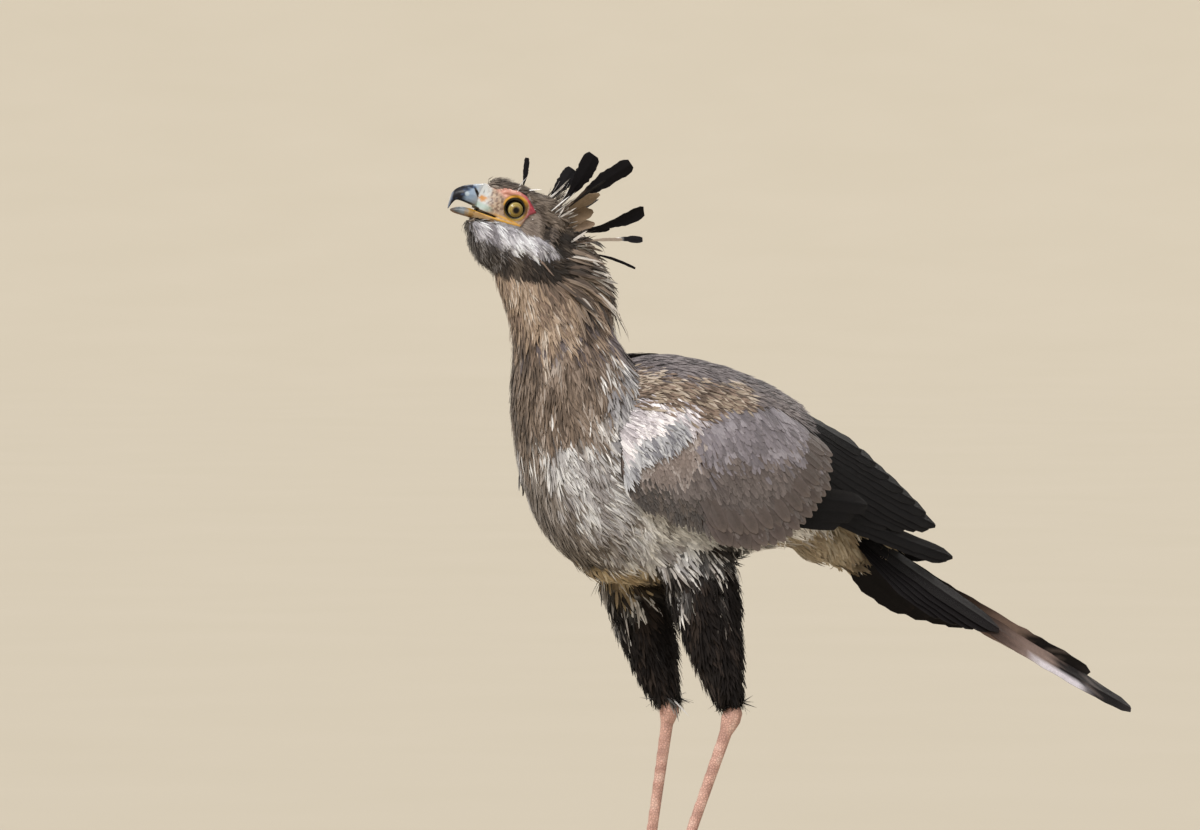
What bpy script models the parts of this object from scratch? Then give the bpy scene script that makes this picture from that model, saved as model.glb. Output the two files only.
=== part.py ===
"""Secretary bird, life size, standing at rest with its head raised and its crest spread.

The bird faces -X, its left side faces -Y and it stands on Z = 0.
Sizes are in metres. Tables are in millimetres and are scaled by MM as they are read.
"""

import math

import bmesh
import bpy
from mathutils import Matrix, Vector

MM = 0.001
GAP = 0.3 * MM  # the air between two neighbouring nodes
GROW = 0.35 * MM  # how much fatter a cutter is than the body that it stands for

# Flesh. Each ring is (back x, back z, front x, front z, half width), from the rump to the neck.
TORSO_RINGS_MM = (
    (285, 565, 262, 503, 28),
    (262, 592, 236, 498, 40),
    (215, 636, 188, 500, 62),
    (150, 684, 128, 492, 83),
    (85, 712, 62, 476, 95),
    (15, 734, -20, 462, 101),
    (-20, 744, -85, 474, 102),
    (-38, 753, -138, 512, 99),
    (-48, 763, -170, 575, 94),
    (-53, 772, -188, 645, 86),
    (-56, 781, -195, 705, 75),
    (-60, 793, -196, 755, 63),
    (-58, 816, -203, 792, 55),
    (-65, 842, -213, 822, 50),
    (-82, 867, -224, 848, 47),
    (-102, 890, -236, 870, 44),
    (-120, 911, -246, 889, 40),
)
# Head rings are in the head's own frame, with its origin midway between the eyes:
# (crown forward, crown up, chin forward, chin up, half width).
HEAD_RINGS_MM = (
    (-55, 8, 46, -46, 36),
    (-48, 18, 50, -40, 34),
    (-35, 25, 52.5, -35, 32),
    (-20, 29, 54, -32, 30.5),
    (-5, 31.5, 55.5, -30, 29),
    (9, 32, 56.5, -29, 26),
    (22, 31, 57, -28.5, 22.5),
    (33, 27.5, 57.5, -28, 18.5),
    (42, 22, 58, -27.5, 14.5),
)
# The pad of short feathers on the nape that the crest grows from: (forward, up, radius).
CREST_PAD_MM = (
    (-34, 25, 5),
    (-46, 13, 15),
    (-63, -3, 21),
    (-82, -20, 24),
    (-98, -38, 24),
    (-110, -57, 20),
    (-118, -76, 12),
    (-122, -88, 4),
)
RING_SIDES = 24
RINGS_PER_STATION = 2
FULLNESS = 2.3  # 2 would be an ellipse, more is fuller at the corners
NECK_BASE_STATION = 10.5  # where the neck is parted from the torso
NECK_TOP_STATION = 15.0  # where the head is parted from the neck
TAIL_STATION = 1.0  # where the tail is parted from the torso
CUTTER_REACH = 0.4  # stations by which a cutter is longer than the torso

# The head's place and turn.
HEAD_X, HEAD_Z = -190.5 * MM, 934 * MM
HEAD_PITCH = math.radians(17)  # bill raised
HEAD_TURN = math.radians(-22)  # turned to the bird's right
NECK_AXIS_X = -140 * MM  # the upright line that the head turns about
TURN_STARTS, TURN_ENDS = 11.0, 16.0  # stations between which the neck twists

# Eyes and bill, in the head's frame.
EYE_RADIUS, EYE_OUT = 14.0 * MM, 14.6 * MM
OPENING_MM = ((19, 10.6), (23.5, 12.0), (36, 17.5))  # the eye's opening: (out, radius)
LID_RADIUS, LID_THICK = 13.4 * MM, 2.2 * MM
LID_OUT, LID_HEIGHT = 24.6 * MM, 0.92  # the lids' opening is a little lower than long
LID_STEPS, LID_SIDES = 16, 6
BROW_POINTS_MM = ((25, 12, 21), (15, 17.5, 25.5), (1, 18.5, 28), (-12, 13, 29.5), (-20, 4, 30))
BROW_RADII_MM = (2.0, 3.4, 3.8, 3.4, 1.8)
# Upper bill: (culmen forward, culmen up, edge forward, edge up, half width).
UPPER_BILL_MM = (
    (43, 19.5, 30, -13.8, 13.5),
    (53, 16, 43, -12, 12.5),
    (60, 13.1, 52, -10.8, 11),
    (65.5, 10.6, 60, -9.8, 9.3),
    (70, 7.6, 66, -9.4, 7.6),
    (74, 4.2, 70, -9.8, 5.8),
    (77, 0, 71.8, -11.4, 4.6),
    (79, -6, 73.2, -13.8, 3.4),
    (79.2, -13, 74.8, -17.2, 2.4),
    (77.8, -24, 76.6, -23.4, 0.7),
)
# Lower bill: (edge forward, edge up, keel forward, keel up, half width).
LOWER_BILL_MM = (
    (26, -17.6, 24, -26, 12.5),
    (39, -15.9, 39, -26.2, 11.5),
    (52.5, -14.8, 53, -26.4, 9.6),
    (63, -16.4, 63, -26.5, 7),
    (70, -19.5, 69.5, -26.2, 4.6),
    (74.6, -22.6, 74.2, -24.8, 1.6),
)
NOSTRIL_FORWARD, NOSTRIL_UP = 49.5 * MM, 5.5 * MM
NOSTRIL_LONG, NOSTRIL_WIDE, NOSTRIL_DEEP = 9 * MM, 2.2 * MM, 3.0 * MM
NOSTRIL_OUT, NOSTRIL_LEAN = 8.5 * MM, 0.65
MOUTH_CORNER_MM = (-9, -19.3)
MOUTH_UPPER_MM, MOUTH_LOWER_MM = (75, -9.6), (75, -15.2)
MOUTH_HALF_MM = 40
BILL_ROOM_MM = 0.35  # air behind the bill's halves

# Crest feathers, in the head's frame: (root f, u, side), (tip f, u, side), half width, bow,
# lean of the blade away from the head's middle plane in degrees.
CREST_MM = (
    ((-39, 19, -7), (-59, 70, -13), 10.0, 2, 10),
    ((-50, 12, 6), (-77, 93, 12), 12.0, 4, -8),
    ((-52, 2, 3), (-125, 96, 10), 11.5, -3, 6),
    ((-66, -10, -8), (-161, 46, -18), 10.0, -7, -8),
    ((-78, -22, 8), (-165, 10, 18), 5.0, 3, 8),
    ((-94, -28, -4), (-171, -26, -12), 2.6, 4, 0),
    ((-60, -4, -10), (-102, 42, -28), 9.0, 3, 16),
    ((-52, 2, 10), (-98, 66, 30), 8.0, -3, -16),
    ((-74, -16, -10), (-128, 14, -32), 6.0, 3, 12),
    ((-80, -22, 10), (-138, 2, 36), 6.0, 3, -12),
)
CROWN_FEATHER_MM = ((-6, 24, -4), (0, 66, -7), 3.6, 1, 0)

# Folded wing. The feathers lie on one curved sheet, told by x:
# (x, height of its upper line, half width, drop to its widest line, roundness).
WING_SHEET_MM = (
    (-150, 690, 92, 78, 0.80),
    (-60, 742, 108, 125, 0.80),
    (0, 756, 117, 140, 0.80),
    (90, 741, 117, 140, 0.75),
    (170, 712, 105, 135, 0.60),
    (240, 674, 87, 125, 0.40),
    (300, 640, 70, 105, 0.20),
    (375, 592, 52, 85, 0.10),
    (430, 552, 40, 66, 0.10),
    (470, 524, 32, 50, 0.10),
)
# The fleshy, coverts-clad part: (x, upper z, lower z, thickness).
WING_CORE_MM = (
    (-98, 632, 600, 8),
    (-91, 655, 582, 15),
    (-70, 682, 565, 20),
    (-20, 706, 545, 22),
    (40, 714, 528, 22),
    (80, 708, 523, 20),
    (120, 694, 531, 19),
    (160, 674, 550, 17),
    (192, 652, 576, 12),
    (212, 636, 598, 6),
)
RIGHT_BEND_REACH = 34 * MM  # the right wing's bend is held further forward
FLIGHT_ROOT_X_MM = (150, 165)
# Flight feathers from the tertials down to the wing tip: (tip x, tip share down the sheet,
# root share down the sheet, half width).
FLIGHT_MM = (
    (302, 0.15, 0.30, 20),
    (324, 0.18, 0.36, 20),
    (345, 0.21, 0.42, 20),
    (366, 0.25, 0.48, 20),
    (385, 0.29, 0.54, 20),
    (402, 0.33, 0.60, 20),
    (415, 0.44, 0.66, 19),
    (403, 0.54, 0.72, 20),
    (386, 0.64, 0.78, 20),
    (362, 0.75, 0.86, 20),
    (330, 0.86, 0.94, 20),
    (296, 0.97, 1.02, 18),
    (442, 0.80, 1.02, 14),
    (430, 0.92, 1.06, 13),
)
FLIGHT_STEPS = (1.0 * MM, 1.3 * MM)  # how much deeper each one lies, at its root and tip
FLIGHT_START = -1.5 * MM
FLIGHT_THICK, COVERT_THICK = (0.7, 0.5), (0.9, 0.6)  # at the root and the tip, mm
COVERT_COUNT = 12
# The covert tips run along this line: (x, z).
COVERT_TIPS_MM = ((32, 517), (70, 511), (112, 517), (152, 536), (186, 562), (212, 590), (228, 622))
COVERT_LENGTH, COVERT_HALF_WIDTH = 88 * MM, 15 * MM
COVERT_ANGLES = (math.radians(-66), math.radians(-30))  # lie of the first and last covert
COVERT_STEP = 1.2 * MM
COVERT_LIFTS = (-5 * MM, 1.0 * MM)
MEDIAN_COUNT = 9
MEDIAN_INSET = 40 * MM
MEDIAN_LENGTH, MEDIAN_HALF_WIDTH = 60 * MM, 13 * MM
MEDIAN_LIFTS = (-4 * MM, 3.6 * MM)

# Tail root, past the torso: (back x, back z, lower x, lower z, half width).
TAIL_ROOT_MM = (
    (262, 592, 236, 498, 40),
    (282, 573, 256, 484, 35),
    (304, 556, 280, 478, 30),
    (328, 540, 304, 482, 25),
    (350, 524, 330, 490, 19),
    (366, 512, 352, 494, 12),
)
TAIL_BASE_MM = (286, 0, 549)
TAIL_SLOPES = (math.radians(-30.2), math.radians(-28.4))  # left and right middle feather
TAIL_DROOP = math.radians(-0.6)  # each further pair lies this much lower
TAIL_ROOF = math.radians(48)  # how steeply the folded feathers fall to each side
# Tail feathers from the middle outwards: (left length, right length, half width).
TAIL_PAIRS_MM = (
    (498, 434, 20),
    (268, 262, 20),
    (250, 244, 21),
    (228, 222, 21),
    (202, 198, 21),
    (176, 172, 20),
)
TAIL_SPREAD, TAIL_STEP = 7.0 * MM, 1.1 * MM

# Legs: feathered thigh rings (x, z, half depth, half width) of the left leg.
THIGH_MM = (
    (14, 590, 48, 30),
    (24, 545, 58, 38),
    (32, 508, 55, 38),
    (40, 471, 50, 35),
    (48, 432, 45, 31),
    (56, 401, 39, 27),
    (64, 371, 33, 23),
    (73, 338, 25, 19),
    (80, 314, 17, 14),
)
HIP_OUT = 57 * MM
THIGH_SIDES, THIGH_STEPS = 16, 16
RIGHT_LEG_SHIFT_MM = ((590, -36), (471, -36), (338, -26), (314, -24), (300, -24))
HOCK_MM, RIGHT_HOCK_MM = (86, 300), (62, 305)
ANKLE_MM, RIGHT_ANKLE_MM = (-28, 24), (16, 24)
TARSUS_DEPTH, TARSUS_WIDTH = 8.5 * MM, 7.0 * MM
SCUTES = 13
SCUTE_RISE = 1.0 * MM
# Toes: (turn outwards in degrees, length without claw, radius at the root).
TOES = ((4, 66, 7.6), (36, 44, 6.8), (-34, 46, 6.8), (176, 26, 6.4))
CLAW_LONG = 19 * MM
TOE_FLAT = 0.25  # share of a toe's radius that the ground flattens
# Along a toe: share of its length, swell of its pads, share of the way up to the ankle.
TOE_SHAPE = (
    (-0.06, 0.9, 0.5),
    (0.15, 1.0, 0.25),
    (0.35, 0.86, 0.0),
    (0.5, 1.0, 0.0),
    (0.68, 0.8, 0.0),
    (0.84, 0.92, 0.0),
    (1.0, 0.66, 0.0),
)
TOE_SIDES, CLAW_SIDES, SHANK_SIDES = 10, 8, 10
CLAW_STATIONS = (0, 0.3, 0.6, 0.85, 1.0)
CLAW_ROOT, CLAW_TIP = 0.55, 0.4 * MM  # the root's share of the toe's radius; the tip's radius
KNOB_RADIUS, KNOB_DROP = 12.5 * MM, 6 * MM
# Along the shank above its scutes and below them: (share of the way down, swell).
HOCK_SWELLS = ((-0.045, 0.8), (-0.02, 1.45), (0.02, 1.6), (0.06, 1.25))
ANKLE_SWELLS = ((0.94, 1.12), (0.985, 1.35))
SCUTE_SPAN, SCUTE_LONG = (0.08, 0.92), 0.92
SHANK_WAIST = 0.16

COLOURS = {
    "down_grey": ((0.42, 0.37, 0.33), 0.9),
    "neck_brown": ((0.34, 0.27, 0.21), 0.9),
    "feather_grey": ((0.28, 0.24, 0.23), 0.8),
    "feather_black": ((0.02, 0.018, 0.02), 0.6),
    "bill_horn": ((0.25, 0.30, 0.36), 0.35),
    "face_skin": ((0.85, 0.45, 0.12), 0.55),
    "eye_olive": ((0.30, 0.26, 0.08), 0.05),
    "leg_scale": ((0.72, 0.55, 0.48), 0.6),
    "claw_black": ((0.03, 0.03, 0.03), 0.4),
}


def clear_scene():
    for obj in list(bpy.data.objects):
        bpy.data.objects.remove(obj)


def material(name):
    found = bpy.data.materials.get(name)
    if found:
        return found
    colour, roughness = COLOURS[name]
    made = bpy.data.materials.new(name)
    made.use_nodes = True
    shader = made.node_tree.nodes["Principled BSDF"]
    shader.inputs["Base Color"].default_value = (*colour, 1)
    shader.inputs["Roughness"].default_value = roughness
    shader.inputs["Metallic"].default_value = 0.0
    return made


def lerp(a, b, t):
    return a + (b - a) * t


def ease(t):
    t = min(1.0, max(0.0, t))
    return t * t * (3 - 2 * t)


def spline(table, s):
    """The row of a table at the fractional place s, on a smooth curve through its rows."""
    last = len(table) - 1
    i = min(max(int(math.floor(s)), 0), last - 1)
    t = s - i
    rows = [table[min(max(i + k, 0), last)] for k in (-1, 0, 1, 2)]
    row = []
    for a, b, c, d in zip(*rows):
        slope_b, slope_c = (c - a) / 2, (d - b) / 2
        row.append(
            (2 * t**3 - 3 * t**2 + 1) * b
            + (t**3 - 2 * t**2 + t) * slope_b
            + (3 * t**2 - 2 * t**3) * c
            + (t**3 - t**2) * slope_c
        )
    return row


def along(table, x):
    """The rest of a table's row where its first column is x, eased between rows."""
    last = len(table) - 1
    for i in range(last):
        if x <= table[i + 1][0] or i == last - 1:
            break
    share = (x - table[i][0]) / (table[i + 1][0] - table[i][0])
    return spline(table, i + min(max(share, 0.0), 1.0))[1:]


def new_object(name, points, faces, colour):
    mesh = bpy.data.meshes.new(name)
    mesh.from_pydata([tuple(p) for p in points], [], faces)
    build = bmesh.new()
    build.from_mesh(mesh)
    bmesh.ops.remove_doubles(build, verts=build.verts, dist=1e-6)
    bmesh.ops.recalc_face_normals(build, faces=build.faces)
    build.to_mesh(mesh)
    build.free()
    mesh.materials.append(material(colour))
    obj = bpy.data.objects.new(name, mesh)
    bpy.context.scene.collection.objects.link(obj)
    return obj


def loft(name, rings, colour):
    """A closed body through rings of as many points each, capped with a fan at both ends."""
    sides = len(rings[0])
    points = [p for ring in rings for p in ring]
    faces = []
    for r in range(len(rings) - 1):
        for k in range(sides):
            a, b = r * sides + k, r * sides + (k + 1) % sides
            faces.append((a, b, b + sides, a + sides))
    for ring, first in ((rings[0], 0), (rings[-1], (len(rings) - 1) * sides)):
        hub = len(points)
        points.append(sum((Vector(p) for p in ring), Vector()) / sides)
        for k in range(sides):
            faces.append((first + k, first + (k + 1) % sides, hub))
    return new_object(name, points, faces, colour)


def apply_modifiers(obj):
    graph = bpy.context.evaluated_depsgraph_get()
    mesh = bpy.data.meshes.new_from_object(obj.evaluated_get(graph))
    obj.modifiers.clear()
    obj.data = mesh


def keep_largest(obj):
    """Drops every closed surface of the mesh but the largest, by the size of its box."""
    build = bmesh.new()
    build.from_mesh(obj.data)
    build.verts.ensure_lookup_table()
    seen, islands = set(), []
    for start in build.verts:
        if start.index in seen:
            continue
        island, queue = [], [start]
        seen.add(start.index)
        while queue:
            vert = queue.pop()
            island.append(vert)
            for edge in vert.link_edges:
                other = edge.other_vert(vert)
                if other.index not in seen:
                    seen.add(other.index)
                    queue.append(other)
        islands.append(island)

    def box_size(island):
        spans = [[v.co[k] for v in island] for k in range(3)]
        return math.prod(max(span) - min(span) for span in spans)

    islands.sort(key=box_size)
    for island in islands[:-1]:
        bmesh.ops.delete(build, geom=island, context="VERTS")
    build.to_mesh(obj.data)
    build.free()
    return obj


def join_all(obj, pieces, solver="EXACT"):
    """One Boolean union of the object with its pieces, which are then removed."""
    group = bpy.data.collections.new(obj.name + "_pieces")
    for piece in pieces:
        bpy.context.scene.collection.objects.unlink(piece)
        group.objects.link(piece)
    union = obj.modifiers.new("union", "BOOLEAN")
    union.operation, union.solver = "UNION", solver
    union.operand_type, union.collection = "COLLECTION", group
    apply_modifiers(obj)
    for piece in pieces:
        bpy.data.objects.remove(piece)
    bpy.data.collections.remove(group)
    return keep_largest(obj)


def cut_away(obj, cutters, solver="EXACT"):
    """Cuts the cutters out of the object, and removes them."""
    for cutter in cutters:
        cut = obj.modifiers.new("cut", "BOOLEAN")
        cut.operation, cut.solver, cut.object = "DIFFERENCE", solver, cutter
        apply_modifiers(obj)
        bpy.data.objects.remove(cutter)
    return keep_largest(obj)


def head_turn(point, share):
    """Turns a point of the unturned side view about the neck's upright line."""
    axis = Vector((NECK_AXIS_X, 0, 0))
    return Matrix.Rotation(HEAD_TURN * share, 4, "Z") @ (point - axis) + axis


def head_flat(forward, up, left=0.0):
    """A point of the head's frame in the unturned side view."""
    c, s = math.cos(HEAD_PITCH), math.sin(HEAD_PITCH)
    return Vector((HEAD_X - c * forward + s * up, -left, HEAD_Z + s * forward + c * up))


def head_point(forward, up, left=0.0):
    """A point of the head's frame, in place."""
    return head_turn(head_flat(forward, up, left), 1.0)


def head_mm(forward, up, left=0.0):
    return head_point(forward * MM, up * MM, left * MM)


def flesh_table():
    """Torso and head rings as one table of (back x, back z, front x, front z, half width)."""
    rows = [tuple(v * MM for v in row) for row in TORSO_RINGS_MM]
    for crown_f, crown_u, chin_f, chin_u, half in HEAD_RINGS_MM:
        back = head_flat(crown_f * MM, crown_u * MM)
        front = head_flat(chin_f * MM, chin_u * MM)
        rows.append((back.x, back.z, front.x, front.z, half * MM))
    return rows


FLESH = flesh_table()
LAST_STATION = len(FLESH) - 1


def section(back, front, half, grow, sides=RING_SIDES):
    """An oval ring between a back and a front point, a little fuller than an ellipse."""
    middle, reach = (back + front) / 2, (back - front) / 2
    reach = reach.normalized() * (reach.length + grow)
    points = []
    for k in range(sides):
        angle = 2 * math.pi * k / sides
        c, s = math.cos(angle), math.sin(angle)
        full = (abs(c) ** FULLNESS + abs(s) ** FULLNESS) ** (-1 / FULLNESS)
        points.append(middle + reach * (c * full) + Vector((0, (half + grow) * s * full, 0)))
    return points


def flesh_ring(s, grow=0.0, shift=0.0):
    """The ring at station s, moved by shift along the body towards the head."""
    back_x, back_z, front_x, front_z, half = spline(FLESH, s)
    back, front = Vector((back_x, 0, back_z)), Vector((front_x, 0, front_z))
    onward = Vector((0, 1, 0)).cross((front - back).normalized())
    move = onward * shift
    turn = ease((s - TURN_STARTS) / (TURN_ENDS - TURN_STARTS))
    return [head_turn(p + move, turn) for p in section(back, front, half, grow)]


def flesh(name, first, last, colour, grow=0.0, ends=(GAP / 2, GAP / 2)):
    """The stretch of the body between two stations, drawn in by ends."""
    count = max(2, round((last - first) * RINGS_PER_STATION))
    rings = []
    for i in range(count + 1):
        s = lerp(first, last, i / count)
        shift = ends[0] if i == 0 else -ends[1] if i == count else 0.0
        rings.append(flesh_ring(s, grow, shift))
    return loft(name, rings, colour)


def make_torso():
    return flesh("torso", TAIL_STATION, NECK_BASE_STATION, "down_grey")


def torso_cutter():
    first, last = TAIL_STATION - CUTTER_REACH, NECK_BASE_STATION + CUTTER_REACH
    return flesh("torso_cutter", first, last, "down_grey", GROW, (0, 0))


def make_neck():
    neck = flesh("neck", NECK_BASE_STATION, NECK_TOP_STATION, "neck_brown")
    return cut_away(neck, [nape_pad("nape_room", GROW)])


def tube(name, centres, radii, sides, colour):
    """A closed tube through centres, with its own radius at each of them."""
    rings = []
    for i, centre in enumerate(centres):
        ahead = centres[min(i + 1, len(centres) - 1)] - centres[max(i - 1, 0)]
        side = ahead.cross(Vector((0.13, 0.31, 0.94))).normalized()
        up = side.cross(ahead).normalized()
        ring = []
        for k in range(sides):
            angle = 2 * math.pi * k / sides
            ring.append(centre + (side * math.cos(angle) + up * math.sin(angle)) * radii[i])
        rings.append(ring)
    return loft(name, rings, colour)


def ball(name, centre, radius, colour, segments=16, rings=10):
    mesh = bpy.data.meshes.new(name)
    build = bmesh.new()
    bmesh.ops.create_uvsphere(build, u_segments=segments, v_segments=rings, radius=radius)
    bmesh.ops.translate(build, verts=build.verts, vec=centre)
    build.to_mesh(mesh)
    build.free()
    mesh.materials.append(material(colour))
    obj = bpy.data.objects.new(name, mesh)
    bpy.context.scene.collection.objects.link(obj)
    return obj


def lid(side):
    """The rim of skin round an eye, as a ring of flat tubes."""
    points = []
    for i in range(LID_STEPS):
        angle = 2 * math.pi * i / LID_STEPS
        c, s = math.cos(angle), math.sin(angle)
        for k in range(LID_SIDES):
            turn = 2 * math.pi * k / LID_SIDES
            out = LID_OUT + LID_THICK * math.sin(turn)
            far = LID_RADIUS + LID_THICK * math.cos(turn)
            points.append(head_point(far * c, far * s * LID_HEIGHT, side * out))
    faces = []
    for r in range(LID_STEPS):
        here, there = r * LID_SIDES, ((r + 1) % LID_STEPS) * LID_SIDES
        for k in range(LID_SIDES):
            onward = (k + 1) % LID_SIDES
            faces.append((here + k, here + onward, there + onward, there + k))
    return new_object("lid", points, faces, "face_skin")


def brow(side):
    centres = [head_mm(f, u, side * out) for f, u, out in BROW_POINTS_MM]
    return tube("brow", centres, [r * MM for r in BROW_RADII_MM], 8, "face_skin")


def bill_ring(row, grow, sides=16):
    """A ring of the bill: narrow along its first point, broad towards its second."""
    top_f, top_u, edge_f, edge_u, half = (v * MM for v in row)
    top, edge = Vector((top_f, top_u)), Vector((edge_f, edge_u))
    middle, reach = (top + edge) / 2, (top - edge) / 2
    reach = reach.normalized() * (reach.length + grow)
    points = []
    for k in range(sides):
        angle = 2 * math.pi * k / sides
        c, s = math.cos(angle), math.sin(angle)
        broad = 1.0 - 0.28 * max(c, 0.0) ** 2
        place = middle + reach * (c if c > 0 else -(abs(c) ** 0.8))
        points.append(head_point(place.x, place.y, (half + grow) * s * broad))
    return points


def upper_bill(name, grow=0.0, back=0.0):
    count = 16
    rows = [spline(UPPER_BILL_MM, i * (len(UPPER_BILL_MM) - 1) / count) for i in range(count + 1)]
    rows[0] = (rows[0][0] - back, rows[0][1], rows[0][2] - back, rows[0][3], rows[0][4])
    return loft(name, [bill_ring(row, grow) for row in rows], "bill_horn")


def lower_bill(name, grow=0.0, back=0.0):
    count = 10
    rows = [spline(LOWER_BILL_MM, i * (len(LOWER_BILL_MM) - 1) / count) for i in range(count + 1)]
    rows[0] = (rows[0][0] - back, rows[0][1], rows[0][2] - back, rows[0][3], rows[0][4])
    turned = [(r[2], r[3], r[0], r[1], r[4]) for r in rows]
    return loft(name, [bill_ring(row, grow, 12) for row in turned], "bill_horn")


def wedge(name, corner, upper, lower, half):
    """The open mouth: a wedge through the head from the corner forwards."""
    points = []
    for left in (-half, half):
        for forward, up in (corner, upper, lower):
            points.append(head_mm(forward, up, left))
    faces = [(0, 1, 2), (3, 5, 4), (0, 3, 4, 1), (1, 4, 5, 2), (2, 5, 3, 0)]
    return new_object(name, points, faces, "bill_horn")


def nostril(side):
    """A slanting slit in the side of the cere."""
    rings = []
    for out in (0, NOSTRIL_DEEP * 4):
        ring = []
        for k in range(8):
            angle = 2 * math.pi * k / 8
            along_f = NOSTRIL_WIDE / 2 * math.cos(angle)
            along_u = NOSTRIL_LONG / 2 * math.sin(angle)
            forward = NOSTRIL_FORWARD + along_f + along_u * NOSTRIL_LEAN
            left = side * (NOSTRIL_OUT + out)
            ring.append(head_point(forward, NOSTRIL_UP + along_u, left))
        rings.append(ring)
    return loft("nostril", rings, "bill_horn")


def eye_opening(side):
    rings = []
    for out, radius in OPENING_MM:
        ring = []
        for k in range(16):
            angle = 2 * math.pi * k / 16
            ring.append(head_mm(radius * math.cos(angle), radius * math.sin(angle), side * out))
        rings.append(ring)
    return loft("opening", rings, "face_skin")


def make_head():
    head = flesh("head", NECK_TOP_STATION, LAST_STATION, "neck_brown", ends=(GAP / 2, 0))
    cut_away(head, [eye_opening(1), eye_opening(-1)], "MANIFOLD")
    pieces = [piece(side) for side in (1, -1) for piece in (brow, lid)]
    join_all(head, pieces + [crest_feather(*CROWN_FEATHER_MM)], "MANIFOLD")
    cutters = [
        ball("socket", head_point(0, 0, side * EYE_OUT), EYE_RADIUS + GROW, "eye_olive")
        for side in (1, -1)
    ]
    cutters.append(nape_pad("nape_room", GROW))
    cutters.append(upper_bill("upper_room", GROW, BILL_ROOM_MM))
    cutters.append(lower_bill("lower_room", GROW, BILL_ROOM_MM))
    cutters.append(wedge("mouth", MOUTH_CORNER_MM, MOUTH_UPPER_MM, MOUTH_LOWER_MM, MOUTH_HALF_MM))
    return cut_away(head, cutters, "MANIFOLD")


def make_eyes():
    for name, side in (("eye_left", 1), ("eye_right", -1)):
        ball(name, head_point(0, 0, side * EYE_OUT), EYE_RADIUS, "eye_olive")


def make_bill():
    upper = upper_bill("bill_upper")
    cut_away(upper, [nostril(1), nostril(-1)])
    lower_bill("bill_lower")


def vane(name, ribs, colour):
    """A feather's vane through ribs of (points across it, normals at them, thickness)."""
    wide = len(ribs[0][0])
    points = []
    for middles, normals, thick in ribs:
        for lift in (0.5, -0.5):
            points += [p + n * (lift * thick) for p, n in zip(middles, normals)]
    faces = []
    for r in range(len(ribs) - 1):
        a, b = r * 2 * wide, (r + 1) * 2 * wide
        for k in range(wide - 1):
            for tri in ((a + k, b + k, b + k + 1), (a + k, b + k + 1, a + k + 1)):
                faces.append(tri)
                faces.append(tuple(v + wide for v in reversed(tri)))
        for k in (0, wide - 1):
            faces.append((a + k, a + k + wide, b + k + wide))
            faces.append((a + k, b + k + wide, b + k))
    for a in (0, (len(ribs) - 1) * 2 * wide):
        for k in range(wide - 1):
            faces.append((a + k, a + k + 1, a + k + 1 + wide, a + k + wide))
    return new_object(name, points, faces, colour)


def flat_rib(middle, across, normal, half, thick):
    return [middle - across * half, middle + across * half], [normal, normal], thick


FLIGHT_SHAPE = ((0, 0.45), (0.4, 0.95), (0.75, 1.0), (0.93, 0.68), (1, 0.22))
COVERT_SHAPE = ((0, 0.6), (0.55, 1.0), (0.88, 0.8), (1, 0.28))
CREST_SHAPE = ((0, 0.2), (0.3, 0.22), (0.5, 0.45), (0.7, 0.9), (0.86, 1.0), (0.96, 0.75), (1, 0.35))


def crest_feather(root, tip, half, bow, lean):
    start, end = head_mm(*root), head_mm(*tip)
    ahead = (end - start).normalized()
    lift = head_point(-1, 1) - head_point(0, 0)
    lift = (lift - ahead * lift.dot(ahead)).normalized()
    side = ahead.cross(lift).normalized()
    twist = Matrix.Rotation(math.radians(90 + lean), 4, ahead)
    ribs = []
    for t, share in CREST_SHAPE:
        middle = start.lerp(end, t) + lift * (bow * MM * math.sin(math.pi * t))
        thick = lerp(1.6, 0.55, min(1, t * 1.6)) * MM
        ribs.append(flat_rib(middle, twist @ side, twist @ lift, half * share * MM, thick))
    return vane("crest_feather", ribs, "feather_black")


def nape_pad(name, grow=0.0):
    centres = [head_mm(f, u) for f, u, _ in CREST_PAD_MM]
    radii = [row[2] * MM + grow for row in CREST_PAD_MM]
    return tube(name, centres, radii, 16, "feather_black")


def make_crest():
    """The nape's pad with the crest's long feathers rooted in it."""
    crest = nape_pad("crest")
    join_all(crest, [crest_feather(*row) for row in CREST_MM])


def sheet_point(x, q):
    """A place on the left wing's sheet: x along it, q = 0 on its upper line, 1 where widest."""
    top, half, drop, round_share = along(WING_SHEET_MM, x / MM)
    upper = Vector((-3.0, top))
    widest = Vector((-half, top - drop))
    corner = Vector((-half, top))
    bend = ((upper + widest) / 2).lerp(corner, round_share)
    length = (widest - upper).length * (1 + 0.12 * round_share)
    if q <= 1:
        flat = upper * (1 - q) ** 2 + bend * (2 * q * (1 - q)) + widest * q**2
    else:
        down = (widest - bend).normalized()
        flat = widest + down * ((q - 1) * length)
    return Vector((x, flat.x * MM, flat.y * MM))


def sheet_normal(x, q):
    step = 0.002
    by_x = sheet_point(x + step, q) - sheet_point(x - step, q)
    by_q = sheet_point(x, q + 0.01) - sheet_point(x, max(q - 0.01, 0.0))
    normal = by_x.cross(by_q).normalized()
    return normal if normal.y < 0 else -normal


def share_at(x, z):
    """How far down the sheet the height z is met, at x."""
    low, high = 0.0, 2.0
    for _ in range(30):
        middle = (low + high) / 2
        if sheet_point(x, middle).z > z:
            low = middle
        else:
            high = middle
    return (low + high) / 2


def mirrored(point, side):
    return Vector((point.x, point.y * side, point.z))


def between(root, tip, t):
    return lerp(root[0], tip[0], t), lerp(root[1], tip[1], t)


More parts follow.
